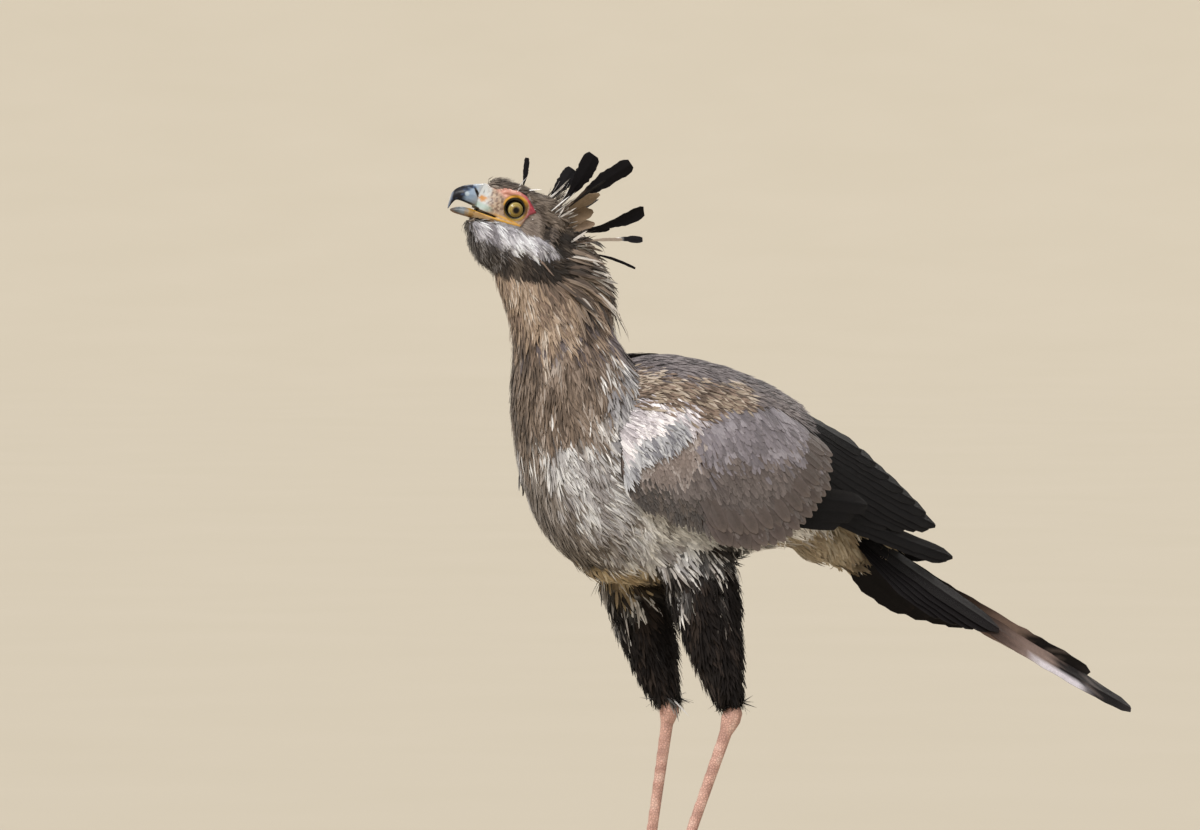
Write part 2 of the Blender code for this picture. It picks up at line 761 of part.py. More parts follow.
def sheet_vane(name, root, tip, half, shape, lifts, side, colour, thick):
    """A feather lying on the sheet from root to tip, both (x, share), lifted off it by lifts."""
    ribs = []
    for t, share in shape:
        x, q = between(root, tip, t)
        before, after = (sheet_point(*between(root, tip, t + d)) for d in (-0.02, 0.02))
        across = sheet_normal(x, q).cross(after - before).normalized() * (half * share)
        lift = lerp(lifts[0], lifts[1], ease(t * 1.3))
        middles, normals = [], []
        for k in (-1, 0, 1):
            aim = sheet_point(x, q) + across * k
            near = share_at(aim.x, aim.z)
            normal = sheet_normal(aim.x, near)
            middles.append(mirrored(sheet_point(aim.x, near) + normal * lift, side))
            normals.append(mirrored(normal, side))
        ribs.append((middles, normals, lerp(thick[0], thick[1], min(1, t * 1.5)) * MM))
    return vane(name, ribs, colour)


def wing_core(name, side, reach):
    """The coverts-clad body of the folded wing, from its bend to where its coverts end."""
    rings = []
    count = 20
    for i in range(count + 1):
        row = spline(WING_CORE_MM, i * (len(WING_CORE_MM) - 1) / count)
        x, upper, lower, thick = (v * MM for v in row)
        x -= reach * ease((0.02 - x) / 0.12)
        first, last = share_at(x, upper), share_at(x, lower)
        outer, inner = [], []
        steps = 8
        for k in range(steps + 1):
            t = k / steps
            q = lerp(first, last, t)
            depth = thick * (0.18 + 0.82 * math.sin(math.pi * t) ** 0.6)
            outer.append(sheet_point(x, q) + sheet_normal(x, q) * (0.12 * depth - 0.10 * thick))
            inner.append(sheet_point(x, q) - sheet_normal(x, q) * (0.9 * depth + 0.10 * thick))
        rings.append([mirrored(p, side) for p in outer + inner[::-1]])
    return loft(name, rings, "feather_grey")


def covert_tip(t):
    x, z = spline(COVERT_TIPS_MM, t * (len(COVERT_TIPS_MM) - 1))
    return x * MM, z * MM


def coverts(count, length, half, inset, lifts, side):
    """A row of coverts whose tips follow the lower and rear edge of the wing's core."""
    made = []
    for i in range(count):
        t = i / (count - 1)
        x, z = covert_tip(t)
        angle = lerp(COVERT_ANGLES[0], COVERT_ANGLES[1], t)
        lie = Vector((math.cos(angle), math.sin(angle)))
        tip = Vector((x, z)) - lie * inset
        root = tip - lie * length
        made.append(
            sheet_vane(
                "covert",
                (root.x, share_at(root.x, root.y)),
                (tip.x, share_at(tip.x, tip.y)),
                half,
                COVERT_SHAPE,
                (lifts[0], lifts[1] + COVERT_STEP * (i % 2)),
                side,
                "feather_grey",
                COVERT_THICK,
            )
        )
    return made


def flight_feathers(side):
    made = []
    for i, (tip_x, tip_q, root_q, half) in enumerate(FLIGHT_MM):
        root_x = lerp(FLIGHT_ROOT_X_MM[0], FLIGHT_ROOT_X_MM[1], i % 2)
        lifts = [FLIGHT_START - step * i for step in FLIGHT_STEPS]
        made.append(
            sheet_vane(
                "flight",
                (root_x * MM, root_q),
                (tip_x * MM, tip_q),
                half * MM,
                FLIGHT_SHAPE,
                lifts,
                side,
                "feather_black",
                FLIGHT_THICK,
            )
        )
    return made


def make_wing(name, side, reach):
    wing = wing_core(name, side, reach)
    pieces = coverts(COVERT_COUNT, COVERT_LENGTH, COVERT_HALF_WIDTH, 0, COVERT_LIFTS, side)
    pieces += coverts(
        MEDIAN_COUNT, MEDIAN_LENGTH, MEDIAN_HALF_WIDTH, MEDIAN_INSET, MEDIAN_LIFTS, side
    )
    pieces += flight_feathers(side)
    join_all(wing, pieces)
    return cut_away(wing, [torso_cutter()])


def tail_root():
    rows = [tuple(v * MM for v in row) for row in TAIL_ROOT_MM]
    rings = []
    count = 12
    for i in range(count + 1):
        bx, bz, fx, fz, half = spline(rows, i * (len(rows) - 1) / count)
        rings.append(section(Vector((bx, 0, bz)), Vector((fx, 0, fz)), half, 0.0, 20))
    return rings


def tail_feather(pair, side):
    left, right, half = TAIL_PAIRS_MM[pair]
    length = (left if side == 1 else right) * MM
    slope = TAIL_SLOPES[0 if side == 1 or pair else 1] + TAIL_DROOP * pair
    ahead = Vector((math.cos(slope), 0, math.sin(slope)))
    up = Vector((-math.sin(slope), 0, math.cos(slope)))
    out = Vector((0, -side, 0))
    across = out * math.cos(TAIL_ROOF) - up * math.sin(TAIL_ROOF)
    normal = out * math.sin(TAIL_ROOF) + up * math.cos(TAIL_ROOF)
    base = Vector(v * MM for v in TAIL_BASE_MM)
    ribs = []
    for t, share in FLIGHT_SHAPE:
        inner = half * MM + 1.0 * MM + TAIL_SPREAD * pair * ease(t * 1.6)
        middle = base + ahead * (length * t) + across * inner - normal * (TAIL_STEP * pair)
        thick = lerp(1.2, 0.6, min(1, t * 1.5)) * MM
        ribs.append(flat_rib(middle, across, normal, half * share * MM, thick))
    return vane("tail_feather", ribs, "feather_black")


def make_tail():
    tail = loft("tail", tail_root(), "down_grey")
    pieces = [tail_feather(pair, side) for pair in range(len(TAIL_PAIRS_MM)) for side in (1, -1)]
    join_all(tail, pieces)
    return cut_away(tail, [torso_cutter()])


def leg_shift(z):
    """How far the right leg's place lies from the left's, along x, at a height."""
    table = RIGHT_LEG_SHIFT_MM
    for (z0, s0), (z1, s1) in zip(table, table[1:]):
        if z >= z1 * MM:
            return lerp(s1, s0, ease((z - z1 * MM) / ((z0 - z1) * MM))) * MM
    return table[-1][1] * MM


def thigh_rings(side):
    rings = []
    for i in range(THIGH_STEPS + 1):
        row = spline(THIGH_MM, i * (len(THIGH_MM) - 1) / THIGH_STEPS)
        x, z, depth, width = (v * MM for v in row)
        if side == -1:
            x += leg_shift(z)
        ring = []
        for k in range(THIGH_SIDES):
            angle = 2 * math.pi * k / THIGH_SIDES
            across = -side * HIP_OUT + width * math.sin(angle)
            ring.append(Vector((x + depth * math.cos(angle), across, z)))
        rings.append(ring)
    return rings


def make_thigh(name, side):
    thigh = loft(name, thigh_rings(side), "feather_black")
    return cut_away(thigh, [torso_cutter(), make_tarsus("hock_room", side, GROW)])


def leg_line(side):
    """The hock and the ankle of one leg."""
    hock, ankle = (HOCK_MM, ANKLE_MM) if side == 1 else (RIGHT_HOCK_MM, RIGHT_ANKLE_MM)
    return [Vector((x * MM, -side * HIP_OUT, z * MM)) for x, z in (hock, ankle)]


def make_tarsus(name, side, grow=0.0):
    """The bare shank, with a knuckle at the hock and scutes down its front."""
    hock, ankle = leg_line(side)
    ahead = (ankle - hock).normalized()
    front = Vector((-1, 0, 0))
    front = (front - ahead * front.dot(ahead)).normalized()
    out = ahead.cross(front).normalized()
    rings = []
    stations = [(t, swell, 0) for t, swell in HOCK_SWELLS]
    for i in range(SCUTES):
        stations.append((lerp(*SCUTE_SPAN, i / SCUTES), 1.0, 1))
        stations.append((lerp(*SCUTE_SPAN, (i + SCUTE_LONG) / SCUTES), 1.0, 0))
    stations += [(t, swell, 0) for t, swell in ANKLE_SWELLS]
    for t, swell, raised in stations:
        centre = hock.lerp(ankle, t)
        waist = swell * (1 - SHANK_WAIST * math.sin(math.pi * min(max(t, 0), 1)))
        ring = []
        for k in range(SHANK_SIDES):
            angle = 2 * math.pi * k / SHANK_SIDES
            c, s = math.cos(angle), math.sin(angle)
            rise = SCUTE_RISE * raised * max(0.0, c) ** 0.5
            ring.append(
                centre
                + front * ((TARSUS_DEPTH * waist + rise + grow) * c)
                + out * ((TARSUS_WIDTH * waist + grow) * s)
            )
        rings.append(ring)
    return loft(name, rings, "leg_scale")


def toe_lie(turn, side):
    """The way that a toe points on the ground."""
    angle = math.radians(turn) * side
    return Vector((-math.cos(angle), -math.sin(angle), 0))


def make_foot(name, side):
    _, ankle = leg_line(side)
    pieces = []
    for index, (turn, length, radius) in enumerate(TOES):
        lie = toe_lie(turn, side)
        across = Vector((-lie.y, lie.x, 0))
        rings = []
        for t, swell, rise in TOE_SHAPE:
            place = lie * (length * MM * t)
            r = radius * MM * swell
            base = Vector((ankle.x, ankle.y, 0)) + place
            height = lerp(r * (1 - TOE_FLAT), ankle.z * 0.55, rise)
            ring = []
            for k in range(TOE_SIDES):
                angle = 2 * math.pi * k / TOE_SIDES
                z = height + r * math.sin(angle)
                ring.append(base + across * (r * math.cos(angle)) + Vector((0, 0, max(z, 0.0))))
            rings.append(ring)
        pieces.append(loft(name if index == 0 else "toe", rings, "leg_scale"))
    knob = ball("knob", ankle - Vector((0, 0, KNOB_DROP)), KNOB_RADIUS, "leg_scale", 12, 8)
    foot = join_all(pieces[0], pieces[1:] + [knob])
    return cut_away(foot, [make_tarsus("ankle_room", side, GROW)])


def make_claws(prefix, side):
    _, ankle = leg_line(side)
    for index, (turn, length, radius) in enumerate(TOES):
        lie = toe_lie(turn, side)
        across = Vector((-lie.y, lie.x, 0))
        root = Vector((ankle.x, ankle.y, 0)) + lie * (length * MM + GAP)
        rings = []
        for t in CLAW_STATIONS:
            r = radius * MM * CLAW_ROOT * (1 - t) ** 0.7 + CLAW_TIP
            height = radius * MM * CLAW_ROOT * (1 - t) + r + 1.5 * MM * math.sin(math.pi * t)
            centre = root + lie * (CLAW_LONG * t)
            ring = []
            for k in range(CLAW_SIDES):
                angle = 2 * math.pi * k / CLAW_SIDES
                z = max(height - GAP + r * math.sin(angle), 0.0)
                ring.append(centre + across * (r * 0.8 * math.cos(angle)) + Vector((0, 0, z)))
            rings.append(ring)
        loft(f"{prefix}_{index + 1}", rings, "claw_black")


def centre_on_floor():
    """Moves the whole bird so that the origin is at the middle of its box, on the floor."""
    bpy.context.view_layer.update()
    corners = [Vector(c) for obj in bpy.data.objects for c in obj.bound_box]
    middle = [(max(c[k] for c in corners) + min(c[k] for c in corners)) / 2 for k in (0, 1)]
    for obj in bpy.data.objects:
        obj.data.transform(Matrix.Translation((-middle[0], -middle[1], 0)))


def shade(obj):
    obj.data.shade_smooth()
    obj.data.set_sharp_from_angle(angle=math.radians(40))


def main():
    clear_scene()
    make_torso()
    make_neck()
    make_head()
    make_eyes()
    make_bill()
    make_crest()
    make_tail()
    for name, side in (("left", 1), ("right", -1)):
        make_thigh("thigh_" + name, side)
        make_tarsus("tarsus_" + name, side)
        make_foot("foot_" + name, side)
        make_claws("claw_" + name, side)
        make_wing("wing_" + name, side, 0.0 if side == 1 else RIGHT_BEND_REACH)
    centre_on_floor()
    for obj in bpy.data.objects:
        shade(obj)


main()
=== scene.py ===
# %% [markdown]
# A life-size secretary bird, dressed over its imported solids.

# %% Load the solids
import math

import bpy
import numpy as np
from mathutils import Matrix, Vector
from mathutils.bvhtree import BVHTree


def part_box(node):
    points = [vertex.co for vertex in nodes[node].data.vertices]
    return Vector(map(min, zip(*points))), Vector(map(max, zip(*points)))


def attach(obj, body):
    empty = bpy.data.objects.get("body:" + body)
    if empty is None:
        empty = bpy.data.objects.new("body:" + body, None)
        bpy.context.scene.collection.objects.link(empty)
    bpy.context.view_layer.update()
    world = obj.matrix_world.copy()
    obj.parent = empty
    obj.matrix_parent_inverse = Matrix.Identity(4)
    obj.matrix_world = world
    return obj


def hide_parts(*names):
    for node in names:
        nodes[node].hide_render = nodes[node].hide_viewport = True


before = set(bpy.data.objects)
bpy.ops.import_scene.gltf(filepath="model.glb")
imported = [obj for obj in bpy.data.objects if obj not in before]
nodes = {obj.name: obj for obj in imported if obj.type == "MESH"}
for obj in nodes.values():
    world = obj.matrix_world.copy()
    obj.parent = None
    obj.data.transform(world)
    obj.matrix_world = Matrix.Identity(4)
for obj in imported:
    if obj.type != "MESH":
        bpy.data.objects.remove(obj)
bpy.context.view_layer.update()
MM = 0.001

# %% [markdown]
# The bird is drawn in millimetres in a side view, with its bill towards -X and its left side
# towards -Y. The head has a small frame of its own: forward along the bill, up to the crown and
# out to the left, from a point between the eyes. It is pitched up and turned to the bird's right.
# Where the drawing lies in the frame is read off the left eye.

# %% The drawing's places
HEAD_X, HEAD_Z = -190.5, 934.0
HEAD_PITCH, HEAD_TURN = math.radians(17), math.radians(-22)
NECK_AXIS_X = -140.0
EYE_OUT = 14.6


def unit(v):
    return v / np.maximum(np.linalg.norm(v, axis=-1, keepdims=True), 1e-12)


def head_drawn(forward, up, left):
    """A point of the head's frame in the drawing, all in millimetres."""
    c, s = math.cos(HEAD_PITCH), math.sin(HEAD_PITCH)
    x, y, z = HEAD_X - c * forward + s * up, -left, HEAD_Z + s * forward + c * up
    ct, st = math.cos(HEAD_TURN), math.sin(HEAD_TURN)
    dx = x - NECK_AXIS_X
    return np.stack(np.broadcast_arrays(NECK_AXIS_X + ct * dx - st * y, st * dx + ct * y, z), -1)


def head_local(drawn):
    """The head frame's forward, up and left of points of the drawing."""
    ct, st = math.cos(HEAD_TURN), math.sin(HEAD_TURN)
    dx, dy = drawn[..., 0] - NECK_AXIS_X, drawn[..., 1]
    x, y = NECK_AXIS_X + ct * dx + st * dy, -st * dx + ct * dy
    c, s = math.cos(HEAD_PITCH), math.sin(HEAD_PITCH)
    ex, ez = x - HEAD_X, drawn[..., 2] - HEAD_Z
    return np.stack([-c * ex + s * ez, s * ex + c * ez, -y], -1)


def head_way(forward, up, left):
    """A direction of the head in the drawing, as a unit vector."""
    return unit(head_drawn(forward, up, left) - head_drawn(0.0, 0.0, 0.0))


low, high = (np.array(corner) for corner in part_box("eye_left"))
HOME = np.array([(low[0] + high[0]) / 2 - head_drawn(0.0, 0.0, EYE_OUT)[0] * MM, 0.0, 0.0])
print("the drawing's origin lies at", HOME.round(4))


def placed(drawn):
    """Points of the drawing, in millimetres, where they are in the frame."""
    return np.asarray(drawn, float) * MM + HOME


def drawn_of(points):
    return (points - HOME) / MM


# %% [markdown]
# The camera stands 12 m away with a long lens, as wildlife is photographed, so the bird is seen
# almost without perspective, and its body is turned 30 degrees towards the camera. The picture's
# lower edge cuts the shanks. The light is soft and parallel, as under a wide sky: a warm key from
# the front left, a weak cool fill and a rim light that lifts the dark feathers off the paper.

# %% Camera and light
VIEW_TURN, VIEW_RISE = -30.0, 2.0
VIEW_FAR, VIEW_WIDTH, SENSOR_MM = 12.0, 1.5, 36.0
ASIDE_MM, MIDDLE_MM = -62.5, 675.0  # the picture's middle, from the drawing's origin


def towards(turn, rise):
    """The direction from the bird to a stand at an azimuth and a height, in degrees."""
    a, b = math.radians(turn), math.radians(rise)
    return Vector((math.sin(a) * math.cos(b), -math.cos(a) * math.cos(b), math.sin(b)))


side_on = Vector((math.cos(math.radians(VIEW_TURN)), math.sin(math.radians(VIEW_TURN)), 0))
aim = Vector(HOME) + side_on * ASIDE_MM * MM + Vector((0, 0, MIDDLE_MM * MM))


def stand(data, turn, rise, far):
    """Links a camera or a lamp at its stand, turned to the bird."""
    obj = bpy.data.objects.new(data.name, data)
    bpy.context.scene.collection.objects.link(obj)
    obj.location = aim + towards(turn, rise) * far
    obj.rotation_euler = (aim - obj.location).to_track_quat("-Z", "Y").to_euler()
    return obj


lens = bpy.data.cameras.new("camera")
lens.sensor_width = SENSOR_MM
lens.lens = SENSOR_MM * VIEW_FAR / VIEW_WIDTH
bpy.context.scene.camera = stand(lens, VIEW_TURN, VIEW_RISE, VIEW_FAR)
LAMP_FAR = 3.0  # the light is parallel, so this only sets where the lamps stand
SKY_COLOUR, SKY_POWER = (0.95, 0.91, 0.84, 1), 0.66
LAMPS = (  # turn, rise and width in degrees, strength, colour
    ("key", -58, 41, 21, 2.75, (1.0, 0.985, 0.96)),
    ("fill", 25, 14, 40, 0.4, (0.92, 0.95, 1.0)),
    ("rim", 140, 42, 23, 1.3, (1.0, 0.97, 0.93)),
)
for lamp_name, turn, rise, wide, power, colour in LAMPS:
    lamp = bpy.data.lights.new(lamp_name, "SUN")
    lamp.angle, lamp.energy, lamp.color = math.radians(wide), power, colour
    stand(lamp, turn, rise, LAMP_FAR)
world = bpy.data.worlds.new("studio")
bpy.context.scene.world = world
world.use_nodes = True
sky = world.node_tree.nodes["Background"]
sky.inputs["Color"].default_value = SKY_COLOUR
sky.inputs["Strength"].default_value = SKY_POWER
bpy.context.scene.view_settings.view_transform = "Standard"
print("camera stands", [round(v, 2) for v in bpy.context.scene.camera.location])

# %% [markdown]
# Colours are written as the sRGB hex values that a painter would pick, and one function turns
# them into the linear values that a shader needs. One more adds a node with its settings and
# links, and every material is built with it. The others make what the materials share: sums, a
# fine noise, the painted colour and a relief.


# %% Colour and node helpers
def rgb(hex_value):
    """An sRGB hex colour as three linear numbers."""
    parts = [int(hex_value[i : i + 2], 16) / 255 for i in (1, 3, 5)]
    return np.array([v / 12.92 if v < 0.04045 else ((v + 0.055) / 1.055) ** 2.4 for v in parts])


def add_node(tree, kind, settings=(), links=()):
    """Adds a node: settings are its own values, links its inputs by name or number."""
    node = tree.nodes.new(kind)
    for key, value in dict(settings).items():
        setattr(node, key, value)
    for key, value in dict(links).items():
        if isinstance(value, bpy.types.NodeSocket):
            tree.links.new(value, node.inputs[key])
        else:
            node.inputs[key].default_value = value
    return node


def new_material(name, fixed):
    """A material whose constant sockets are set on the shader itself."""
    made = bpy.data.materials.new(name)
    made.use_nodes = True
    shader = made.node_tree.nodes["Principled BSDF"]
    for key, value in fixed.items():
        shader.inputs[key].default_value = value
    return made, made.node_tree, shader


def calc(tree, operation, *values, clamp=False):
    """A math node's output. Each value is a number or another node's output."""
    settings = {"operation": operation, "use_clamp": clamp}
    return add_node(tree, "ShaderNodeMath", settings, dict(enumerate(values))).outputs[0]


def grain_of(tree, size_mm, detail=2.0):
    """A noise whose waves are size_mm long on the object itself."""
    coords = add_node(tree, "ShaderNodeTexCoord")
    links = {"Vector": coords.outputs["Object"], "Scale": 1 / (size_mm * MM), "Detail": detail}
    return add_node(tree, "ShaderNodeTexNoise", (), links).outputs["Fac"]


def tone_paint(tree, shader, tone):
    """Makes the colour painted on the mesh, scaled by a tone, the material's colour."""
    painted = add_node(tree, "ShaderNodeAttribute", {"attribute_name": "tint"})
    links = {0: painted.outputs["Color"], "Scale": tone}
    colour = add_node(tree, "ShaderNodeVectorMath", {"operation": "SCALE"}, links)
    tree.links.new(colour.outputs[0], shader.inputs["Base Color"])


def emboss(tree, shader, height, depth, strength=1.0):
    """Gives the shading a relief that is depth metres deep."""
    links = {"Height": height, "Distance": depth, "Strength": strength}
    relief = add_node(tree, "ShaderNodeBump", (), links)
    tree.links.new(relief.outputs["Normal"], shader.inputs["Normal"])


# %% [markdown]
# Two small helpers serve every piece that is modelled below: one selects objects, the other runs
# a mesh operator on the whole of one.


# %% Modelling helpers
def pick(*objects):
    """Selects only these objects and makes the first of them active."""
    bpy.ops.object.select_all(action="DESELECT")
    for obj in objects:
        obj.select_set(True)
    bpy.context.view_layer.objects.active = objects[0]


def mend(obj, operator, **settings):
    """Runs a mesh operator on the whole of an object in edit mode."""
    pick(obj)
    bpy.ops.object.mode_set(mode="EDIT")
    bpy.ops.mesh.select_all(action="SELECT")
    operator(**settings)
    bpy.ops.object.mode_set(mode="OBJECT")


# %% [markdown]
# The floor is studio paper on a round stage: a matt sheet that bends up gently all round, wider
# than any camera's stand, so that no edge shows behind the bird from any side. Its profile, from
# the middle outwards, is drawn once and spun round by a screw modifier.

# %% Studio paper
FLAT_HALF, BEND_RADIUS, BEND_END = 20.0, 24.0, 34.0  # metres and degrees
BEND_STEPS, ROUND_STEPS, PAPER_GRAIN_MM = 12, 96, 500.0
profile = [(0, 0, 0)]
for i in range(BEND_STEPS + 1):
    bend = math.radians(BEND_END * i / BEND_STEPS)
    out = FLAT_HALF + BEND_RADIUS * math.sin(bend)
    profile.append((out, 0, BEND_RADIUS * (1 - math.cos(bend))))
mesh = bpy.data.meshes.new("paper")
mesh.from_pydata(profile, [(i, i + 1) for i in range(len(profile) - 1)], [])
floor = bpy.data.objects.new("paper", mesh)
bpy.context.scene.collection.objects.link(floor)
pick(floor)
bpy.ops.object.modifier_add(type="SCREW")
spin = floor.modifiers[-1]
spin.steps = spin.render_steps = ROUND_STEPS
spin.use_merge_vertices = True
bpy.ops.object.modifier_apply(modifier=spin.name)
bpy.ops.object.shade_smooth()
paper, tree, shader = new_material("matt_studio_paper", {"Roughness": 0.92})
ramp = add_node(tree, "ShaderNodeValToRGB", (), {"Fac": grain_of(tree, PAPER_GRAIN_MM)})
ramp.color_ramp.elements[0].color = (*rgb("#aca392"), 1)
ramp.color_ramp.elements[1].color = (*rgb("#b0a797"), 1)
tree.links.new(ramp.outputs["Color"], shader.inputs["Base Color"])
floor.data.materials.append(paper)
print("paper:", len(floor.data.polygons), "faces")

# %% [markdown]
# A feather coat is thousands of small bodies, so it is made as joined meshes from arrays. Each
# body is a row of ribs, and each rib four points: left edge, back, right edge and belly. Every
# body carries its colour by point, a map "Over" of its own width and length in metres, and the
# map "OFBake", a small patch at its root's place on an unwrap of the skin: the way along the
# bird from its bill and the way round it.


# %% Array helpers
RIPPLE_WAVES = 7


def smooth(low_end, high_end, v):
    t = np.clip((v - low_end) / (high_end - low_end), 0, 1)
    return t * t * (3 - 2 * t)


def blend(a, b, t):
    return a + (b - a) * t


def length_along(line):
    """How far along a line of points each of them is."""
    return np.concatenate([[0], np.cumsum(np.linalg.norm(np.diff(line, axis=0), axis=1))])


def read_off(place, at, rows):
    """The rows of a table that belong to the stops at, read off at places between them."""
    return np.stack([np.interp(place, at, column) for column in np.asarray(rows).T], -1)


def ripple(drawn, size_mm, seed):
    """Smooth noise from -1 to 1 at drawn points, with waves about size_mm long."""
    draw = np.random.default_rng(seed)
    total = np.zeros(drawn.shape[:-1])
    for _ in range(RIPPLE_WAVES):
        wave = unit(draw.normal(size=3)) * 2 * math.pi / (size_mm * draw.uniform(0.7, 1.5))
        total = total + np.sin(drawn @ wave + draw.uniform(0, 6.3))
    return np.clip(total / 3.0, -1, 1)


def table_at(table, x):
    """The rest of a table's row at x, on a smooth curve through its rows, for arrays of x."""
    rows = np.array(table, float)
    last = len(rows) - 1
    i = np.clip(np.searchsorted(rows[:, 0], x) - 1, 0, last - 1)
    t = np.clip((x - rows[i, 0]) / (rows[i + 1, 0] - rows[i, 0]), 0, 1)[..., None]
    a, b, c, d = (rows[np.clip(i + k, 0, last)] for k in (-1, 0, 1, 2))
    hold, reach = 2 * t**3 - 3 * t**2 + 1, 3 * t**2 - 2 * t**3
    value = hold * b + reach * c + (t**3 - 2 * t**2 + t) * (c - a) / 2
    return np.moveaxis((value + (t**3 - t**2) * (d - b) / 2)[..., 1:], -1, 0)


# %% [markdown]
# Meshes are written from arrays, painted point by point and given their maps. Each finished piece is then
# dressed: it gets its material and its body.


# %% Mesh helpers
RIM_ANGLE = math.radians(62)


def write_mesh(name, points, faces, tint, over=None, bake=None):
    """A mesh object from arrays: points, faces of four (or lists), and maps by point."""
    mesh = bpy.data.meshes.new(name)
    if isinstance(faces, np.ndarray):
        mesh.vertices.add(len(points))
        move_points(mesh, points)
        mesh.loops.add(faces.size)
        mesh.loops.foreach_set("vertex_index", faces.astype(np.int32).ravel())
        mesh.polygons.add(len(faces))
        starts = np.arange(0, faces.size, 4, dtype=np.int32)
        mesh.polygons.foreach_set("loop_start", starts)
        mesh.update(calc_edges=True)
    else:
        mesh.from_pydata(points.tolist(), [], faces)
    paint_points(mesh, tint)
    if bake is not None:
        map_points(mesh, "OFBake", bake)
        map_points(mesh, "Over", over)
    mesh.shade_smooth()
    obj = bpy.data.objects.new(name, mesh)
    bpy.context.scene.collection.objects.link(obj)
    return obj


def crisp(obj):
    """Parts the shading at the rims of thin feathers, so that each is lit as a flat vane."""
    pick(obj)
    bpy.ops.object.shade_smooth_by_angle(angle=RIM_ANGLE)
    return obj


def paint_points(mesh, tint):
    """Writes one colour for each point of a mesh, for the materials to read."""
    full = np.ones((len(mesh.vertices), 4), np.float32)
    full[:, :3] = tint
    layer = mesh.attributes.get("tint") or mesh.attributes.new("tint", "FLOAT_COLOR", "POINT")
    layer.data.foreach_set("color", full.ravel())


def map_points(mesh, name, values):
    """Writes a UV map with one place for each point."""
    ends = np.empty(len(mesh.loops), np.int32)
    mesh.loops.foreach_get("vertex_index", ends)
    layer = mesh.uv_layers.new(name=name)
    layer.data.foreach_set("uv", values.astype(np.float32)[ends].ravel())


def move_points(mesh, points):
    mesh.vertices.foreach_set("co", points.astype(np.float32).ravel())


def normals_of(mesh):
    return np.array([v.normal for v in mesh.vertices])


def points_of(mesh):
    flat = np.empty(len(mesh.vertices) * 3, np.float32)
    mesh.vertices.foreach_get("co", flat)
    return flat.reshape(-1, 3).astype(float)


def dress(obj, finish, slot, *replaced):
    """Gives a finished piece its material and its body, and hides the solids it stands for. The slot is
    not used.
    """
    obj.data.materials.clear()
    obj.data.materials.append(finish)
    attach(obj, "root")
    if replaced:
        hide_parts(*replaced)
    obj.data.calc_loop_triangles()
    print(f"{obj.name}: {len(obj.data.loop_triangles)} triangles")


# %% [markdown]
# The unwrap follows the bird's spine, a line drawn from the bill through the neck and the back
# to the tail. A point's place on it is how far along the line it lies and which way round.

# %% The spine and its unwrap
SPINE = np.array(
    [(-262, 945), (-205, 930), (-183, 900), (-168, 866), (-140, 822), (-126, 776), (-120, 705),
     (-104, 660), (-80, 625), (-45, 608), (0, 598), (73, 594), (139, 588), (201, 568),
     (249, 545), (330, 500), (420, 450), (720, 300)], float
)
SPINE_3D = np.stack([SPINE[:, 0], np.zeros(len(SPINE)), SPINE[:, 1]], -1)
SPINE_LONG = length_along(SPINE)
SPINE_BLUR = 16  # how softly one stretch of the spine hands over to the next, mm
LEG_Z, LEG_X = 470.0, 50  # below LEG_Z a point belongs to a leg's own strip of the unwrap
LEG_ASIDE, LEG_AROUND, LEG_HIGH = 400, 60, 2600  # what makes the strip's full width and height
LEG_START, BODY_START, BODY_LONG, UNWRAP_RIM = 0.02, 0.22, 0.76, 0.003  # shares of the unwrap


def spine_frame(drawn):
    """For drawn points: how far along the spine they are, and the spine's direction there."""
    best = np.full(len(drawn), 1e9)
    length, total, weight = np.zeros(len(drawn)), np.zeros((len(drawn), 3)), 0
    spots = []
    for i in range(len(SPINE) - 1):
        a, step = SPINE_3D[i], SPINE_3D[i + 1] - SPINE_3D[i]
        t = np.clip((drawn - a) @ step / (step @ step), 0, 1)
        near = a + t[:, None] * step
        gap = np.linalg.norm(drawn - near, axis=1)
        spots.append((gap, step / np.linalg.norm(step)))
        closer = gap < best
        best = np.where(closer, gap, best)
        length = np.where(closer, SPINE_LONG[i] + t * np.linalg.norm(step), length)
    for gap, ahead in spots:
        w = np.exp(-(gap - best) / SPINE_BLUR)[:, None]
        total = total + w * ahead
        weight = weight + w
    return length, unit(total / weight)


def bake_place(drawn):
    """The unwrap's place of each drawn point, from 0 to 1 both ways."""
    length, ahead = spine_frame(drawn)
    out = drawn - read_off(length, SPINE_LONG, SPINE_3D)
    up = unit(np.cross(ahead, np.array([0, 1.0, 0])))
    around = np.arctan2(out[:, 1], (out * up).sum(-1)) / (2 * math.pi) + 0.5
    leg = drawn[:, 2] < LEG_Z
    round_leg = np.arctan2(drawn[:, 0] - LEG_X, drawn[:, 1]) / LEG_AROUND
    u = np.where(leg, 0.5 + drawn[:, 1] / LEG_ASIDE + round_leg, around)
    on_body = BODY_START + BODY_LONG * length / SPINE_LONG[-1]
    v = np.where(leg, LEG_START + drawn[:, 2] / LEG_HIGH, on_body)
    return np.clip(np.stack([u, v], -1), UNWRAP_RIM, 1 - UNWRAP_RIM)


# %% [markdown]
# The body of a small feather comes in three shapes: a vane, a silky lock and a tuft like hair.
# Its edges hang a little below its middle, and its rims close round it.

